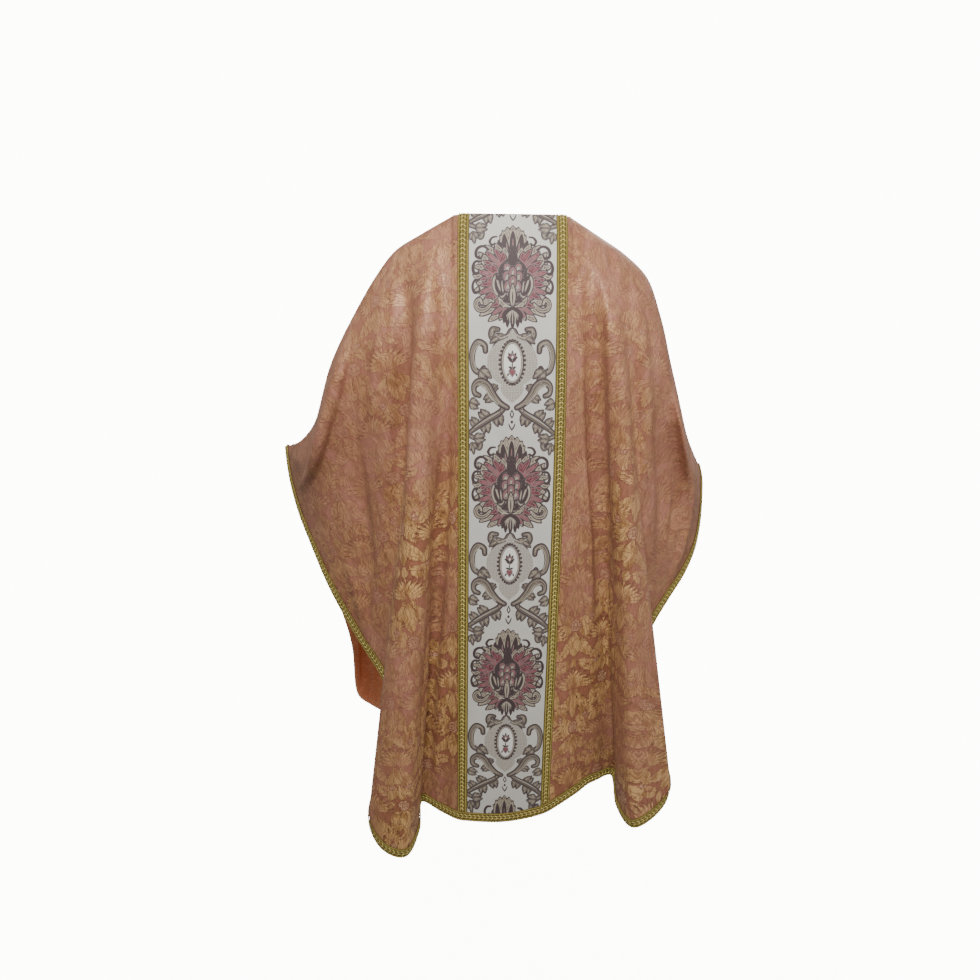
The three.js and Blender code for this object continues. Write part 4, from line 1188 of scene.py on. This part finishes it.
tapestry = tapestry_material()
for face, form in forms.items():
    across, down = orphrey_grid[face]
    heights, _ = even_heights(form, form["middle"], 0, 3, down)
    count = int(round(2 * orphrey_half / across))
    columns = np.linspace(form["middle"] - 1, form["middle"] + 1, count + 1)
    points, outward = hang_cloth(form, columns, heights)
    flat = flat_places(cuts[face], columns, heights)
    mesh, place = sheet_mesh(f"{face}_orphrey_band", points + outward * orphrey_face, outward, flat)
    at = flat[place[:, 0], place[:, 1]]
    x = (columns[place[:, 0]] - form["middle"]) * orphrey_half
    woven = weave_motifs(x, (-at[:, 1] - orphrey_first[face]) % orphrey_repeat)
    for name, values in woven.items():
        layer = mesh.attributes.new(name, "FLOAT", "POINT")
        layer.data.foreach_set("value", np.clip(values, -9, 9).astype(np.float32))
    band = add_piece(f"{face}_orphrey_band", mesh, [tapestry])
    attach(band, "root")
    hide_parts(f"{face}_orphrey")
    length = float(running_length(points[len(columns) // 2])[-1]) * MM

# ------------------------------------------------------------------------------------------------
# The braids: plaited gold galloon either side of each orphrey and round the free edges. Each has a
# woven bed with a twisted cord along both edges, and a chain of plaited strokes down its middle.
braid_bed = 1.9
braid_width = 21
braid_pitch = 9


def braid_color(name, dark, light, roughness, metal):
    material, tree, shader = new_material(name, {"Roughness": roughness, "Metallic": metal})
    place = tree.nodes.new("ShaderNodeTexCoord").outputs["Object"]
    thread = cloth_noise(tree, place, 900, 1)
    patches = cloth_noise(tree, place, 60, 1)
    share = add_math(tree, "MULTIPLY_ADD", patches, 0.5, add_math(tree, "MULTIPLY", thread, 0.5))
    tree.links.new(mix_colors(tree, share, dark, light), shader.inputs["Base Color"])
    add_bump(tree, shader, thread, 0.4, 0.0004)
    return material


gold_cord = braid_color("gold cord", (0.17, 0.125, 0.018), (0.42, 0.32, 0.075), 0.42, 0.25)
gold_eye = braid_color("gold eye", (0.34, 0.27, 0.062), (0.66, 0.55, 0.19), 0.36, 0.25)
# Painted shade: the bed is painted dark, as the shade that lies in the gaps between the gold beads
painted_shade_bed = braid_color("painted shade bed", (0.050, 0.036, 0.006), (0.14, 0.10, 0.020), 0.6, 0.05)


def braid_strip(form, kind):
    """Points (along, across, 3) of one braid's bed, about 2 mm apart along it, and outward."""
    last = len(form["tops"]) - 1
    if kind == "hem":
        columns = np.linspace(0, last, 4001)
        run = running_length(hang_cloth(form, columns, [3, 3.5, 4])[0][:, 1])
        even = np.linspace(0, run[-1], int(round(run[-1] / 2)) + 1)
        points, outward = hang_cloth(form, np.interp(even, run, columns), np.linspace(3, 4, 9))
        return points, outward, run[-1]
    first = form["middle"] + (1 if kind == "left" else -2)
    heights, length = even_heights(form, first + 0.5, 0, 3, 2)
    points, outward = hang_cloth(form, np.linspace(first, first + 1, 9), heights)
    return points.transpose(1, 0, 2), outward.transpose(1, 0, 2), length


def braid_unit():
    """One pitch of galloon laid flat, in millimetres: x along, y across, z above the bed."""
    unit_mesh = bmesh.new()
    middle = braid_width / 2
    # Beads on either side: slot, where along the pitch, distance from the middle, height, half
    # sizes and turn. Two plaited strokes meet in a point on the middle line, and the twisted cord of
    # the edge has three beads.
    beads = [(2, 0.30, 2.7, 0.4, (4.6, 1.75, 1.5), 0.72), (1, 0.80, 2.7, 0.4, (3.4, 1.75, 1.0), 0.72)]
    beads += [(1, at, 7.9, 0.5, (2.5, 1.5, 1.4), 0.75) for at in (0.17, 0.5, 0.83)]
    for side in (-1, 1):
        for slot, at, off, height, half, turn in beads:
            c, s = math.cos(side * turn), math.sin(side * turn)
            made = bmesh.ops.create_icosphere(unit_mesh, subdivisions=1, radius=1)["verts"]
            for vert in made:
                x, y, z = (vert.co[k] * half[k] for k in range(3))
                x, y = x * c - y * s, x * s + y * c
                vert.co = (braid_pitch * at + x, middle + side * off + y, z + height)
            for face in {face for vert in made for face in vert.link_faces}:
                face.material_index = slot
                face.smooth = True
    return unit_mesh


def braid_mesh(name, points, outward, length):
    """A bed swept along the strip, and units laid end to end on it as one mesh."""
    count = int(round(length / braid_pitch))
    pitch = length / count
    pattern = braid_unit()
    piece = bpy.data.meshes.new(name)
    pattern.to_mesh(piece)
    pattern.free()
    holder = bpy.data.objects.new(name, piece)
    bpy.context.scene.collection.objects.link(holder)
    row = holder.modifiers.new("row", "ARRAY")
    row.count = count
    row.use_relative_offset = False
    row.use_constant_offset = True
    row.constant_offset_displace = (braid_pitch, 0, 0)
    laid = bpy.data.meshes.new_from_object(holder.evaluated_get(bpy.context.evaluated_depsgraph_get()))
    bpy.data.objects.remove(holder)
    place = np.empty(len(laid.vertices) * 3)
    laid.vertices.foreach_get("co", place)
    place = place.reshape(-1, 3)
    steps, lanes = points.shape[0] - 1, points.shape[1] - 1
    along = np.clip(place[:, 0] / braid_pitch * pitch / length, 0, 1) * steps
    across = np.clip(place[:, 1] / braid_width, 0.01, 0.99) * lanes
    i, j = np.minimum(along.astype(int), steps - 1), np.minimum(across.astype(int), lanes - 1)
    u, v = (along - i)[:, None], (across - j)[:, None]

    def read(grid):
        return ((1 - u) * ((1 - v) * grid[i, j] + v * grid[i, j + 1])
                + u * ((1 - v) * grid[i + 1, j] + v * grid[i + 1, j + 1]))

    at = read(points) + unit(read(outward)) * (braid_bed + place[:, 2:3])
    laid.vertices.foreach_set("co", (at * MM).ravel())
    laid.update()
    bed, _ = sheet_mesh(name + "_bed", points[::2] + outward[::2] * braid_bed, outward[::2])
    return laid, bed


def join_meshes(name, parts):
    joined = bmesh.new()
    for part in parts:
        joined.from_mesh(part)
    mesh = bpy.data.meshes.new(name)
    joined.to_mesh(mesh)
    joined.free()
    mesh.shade_smooth()
    return mesh


for face, form in forms.items():
    for kind, node in {"left": "braid_left", "right": "braid_right", "hem": "hem_braid"}.items():
        points, outward, length = braid_strip(form, kind)
        units, bed = braid_mesh(f"{face}_{kind}_galloon", points, outward, length)
        braid = add_piece(f"{face}_{kind}_galloon", join_meshes(f"{face}_{kind}_galloon", [units, bed]),
                          [painted_shade_bed, gold_cord, gold_eye])
        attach(braid, "root")
        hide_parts(f"{face}_{node}")

# ------------------------------------------------------------------------------------------------
# The studio: a pale floor under the hanging garment, a pale room round it and soft lamps.
floor_radius, floor_depth, floor_fade = 14, 1.56, (2.0, 0.2)
light_strength, seen_strength = 0.27, 14

floor_net = bmesh.new()
bmesh.ops.create_circle(floor_net, cap_ends=True, segments=96, radius=floor_radius)
floor_mesh = bpy.data.meshes.new("floor")
floor_net.to_mesh(floor_mesh)
floor_net.free()
for vertex in floor_mesh.vertices:
    vertex.co.z = -floor_depth
pale_floor, floor_tree, floor_shader = new_material("pale floor", {
    "Base Color": (0.86, 0.855, 0.85, 1), "Roughness": 0.9,
})
far_away = floor_tree.nodes.new("ShaderNodeVectorMath")
far_away.operation = "LENGTH"
floor_tree.links.new(floor_tree.nodes.new("ShaderNodeTexCoord").outputs["Object"], far_away.inputs[0])
fade = map_range(floor_tree, far_away.outputs["Value"], *floor_fade, 0, 0.45)
fade.node.interpolation_type = "SMOOTHSTEP"
floor_tree.links.new(fade, floor_shader.inputs["Alpha"])
floor = add_piece("floor", floor_mesh, [pale_floor])

world = bpy.data.worlds.new("room")
world.use_nodes = True
wall = world.node_tree.nodes["Background"]
seen = world.node_tree.nodes.new("ShaderNodeLightPath").outputs["Is Camera Ray"]
strength = map_range(world.node_tree, seen, 0, 1, light_strength, seen_strength)
world.node_tree.links.new(strength, wall.inputs["Strength"])
wall.inputs["Color"].default_value = (0.99, 0.95, 0.90, 1)
bpy.context.scene.world = world


def add_lamp(name, place, target, size, power):
    lamp = bpy.data.objects.new(name, bpy.data.lights.new(name, "AREA"))
    lamp.data.size = size
    lamp.data.energy = power
    lamp.location = place
    toward = np.array(target) - np.array(place)
    lamp.rotation_euler = (
        math.atan2(math.hypot(toward[0], toward[1]), -toward[2]), 0, math.atan2(-toward[0], toward[1]),
    )
    bpy.context.scene.collection.objects.link(lamp)


add_lamp("key", (0.12, 1.55, 1.25), (0, 0.15, -0.35), 0.6, 76)
add_lamp("fill", (-2.2, 1.6, 0.2), (0, 0, -0.6), 1.6, 22)
add_lamp("front", (-0.8, -3.0, 1.4), (0, 0, -0.6), 2.2, 95)
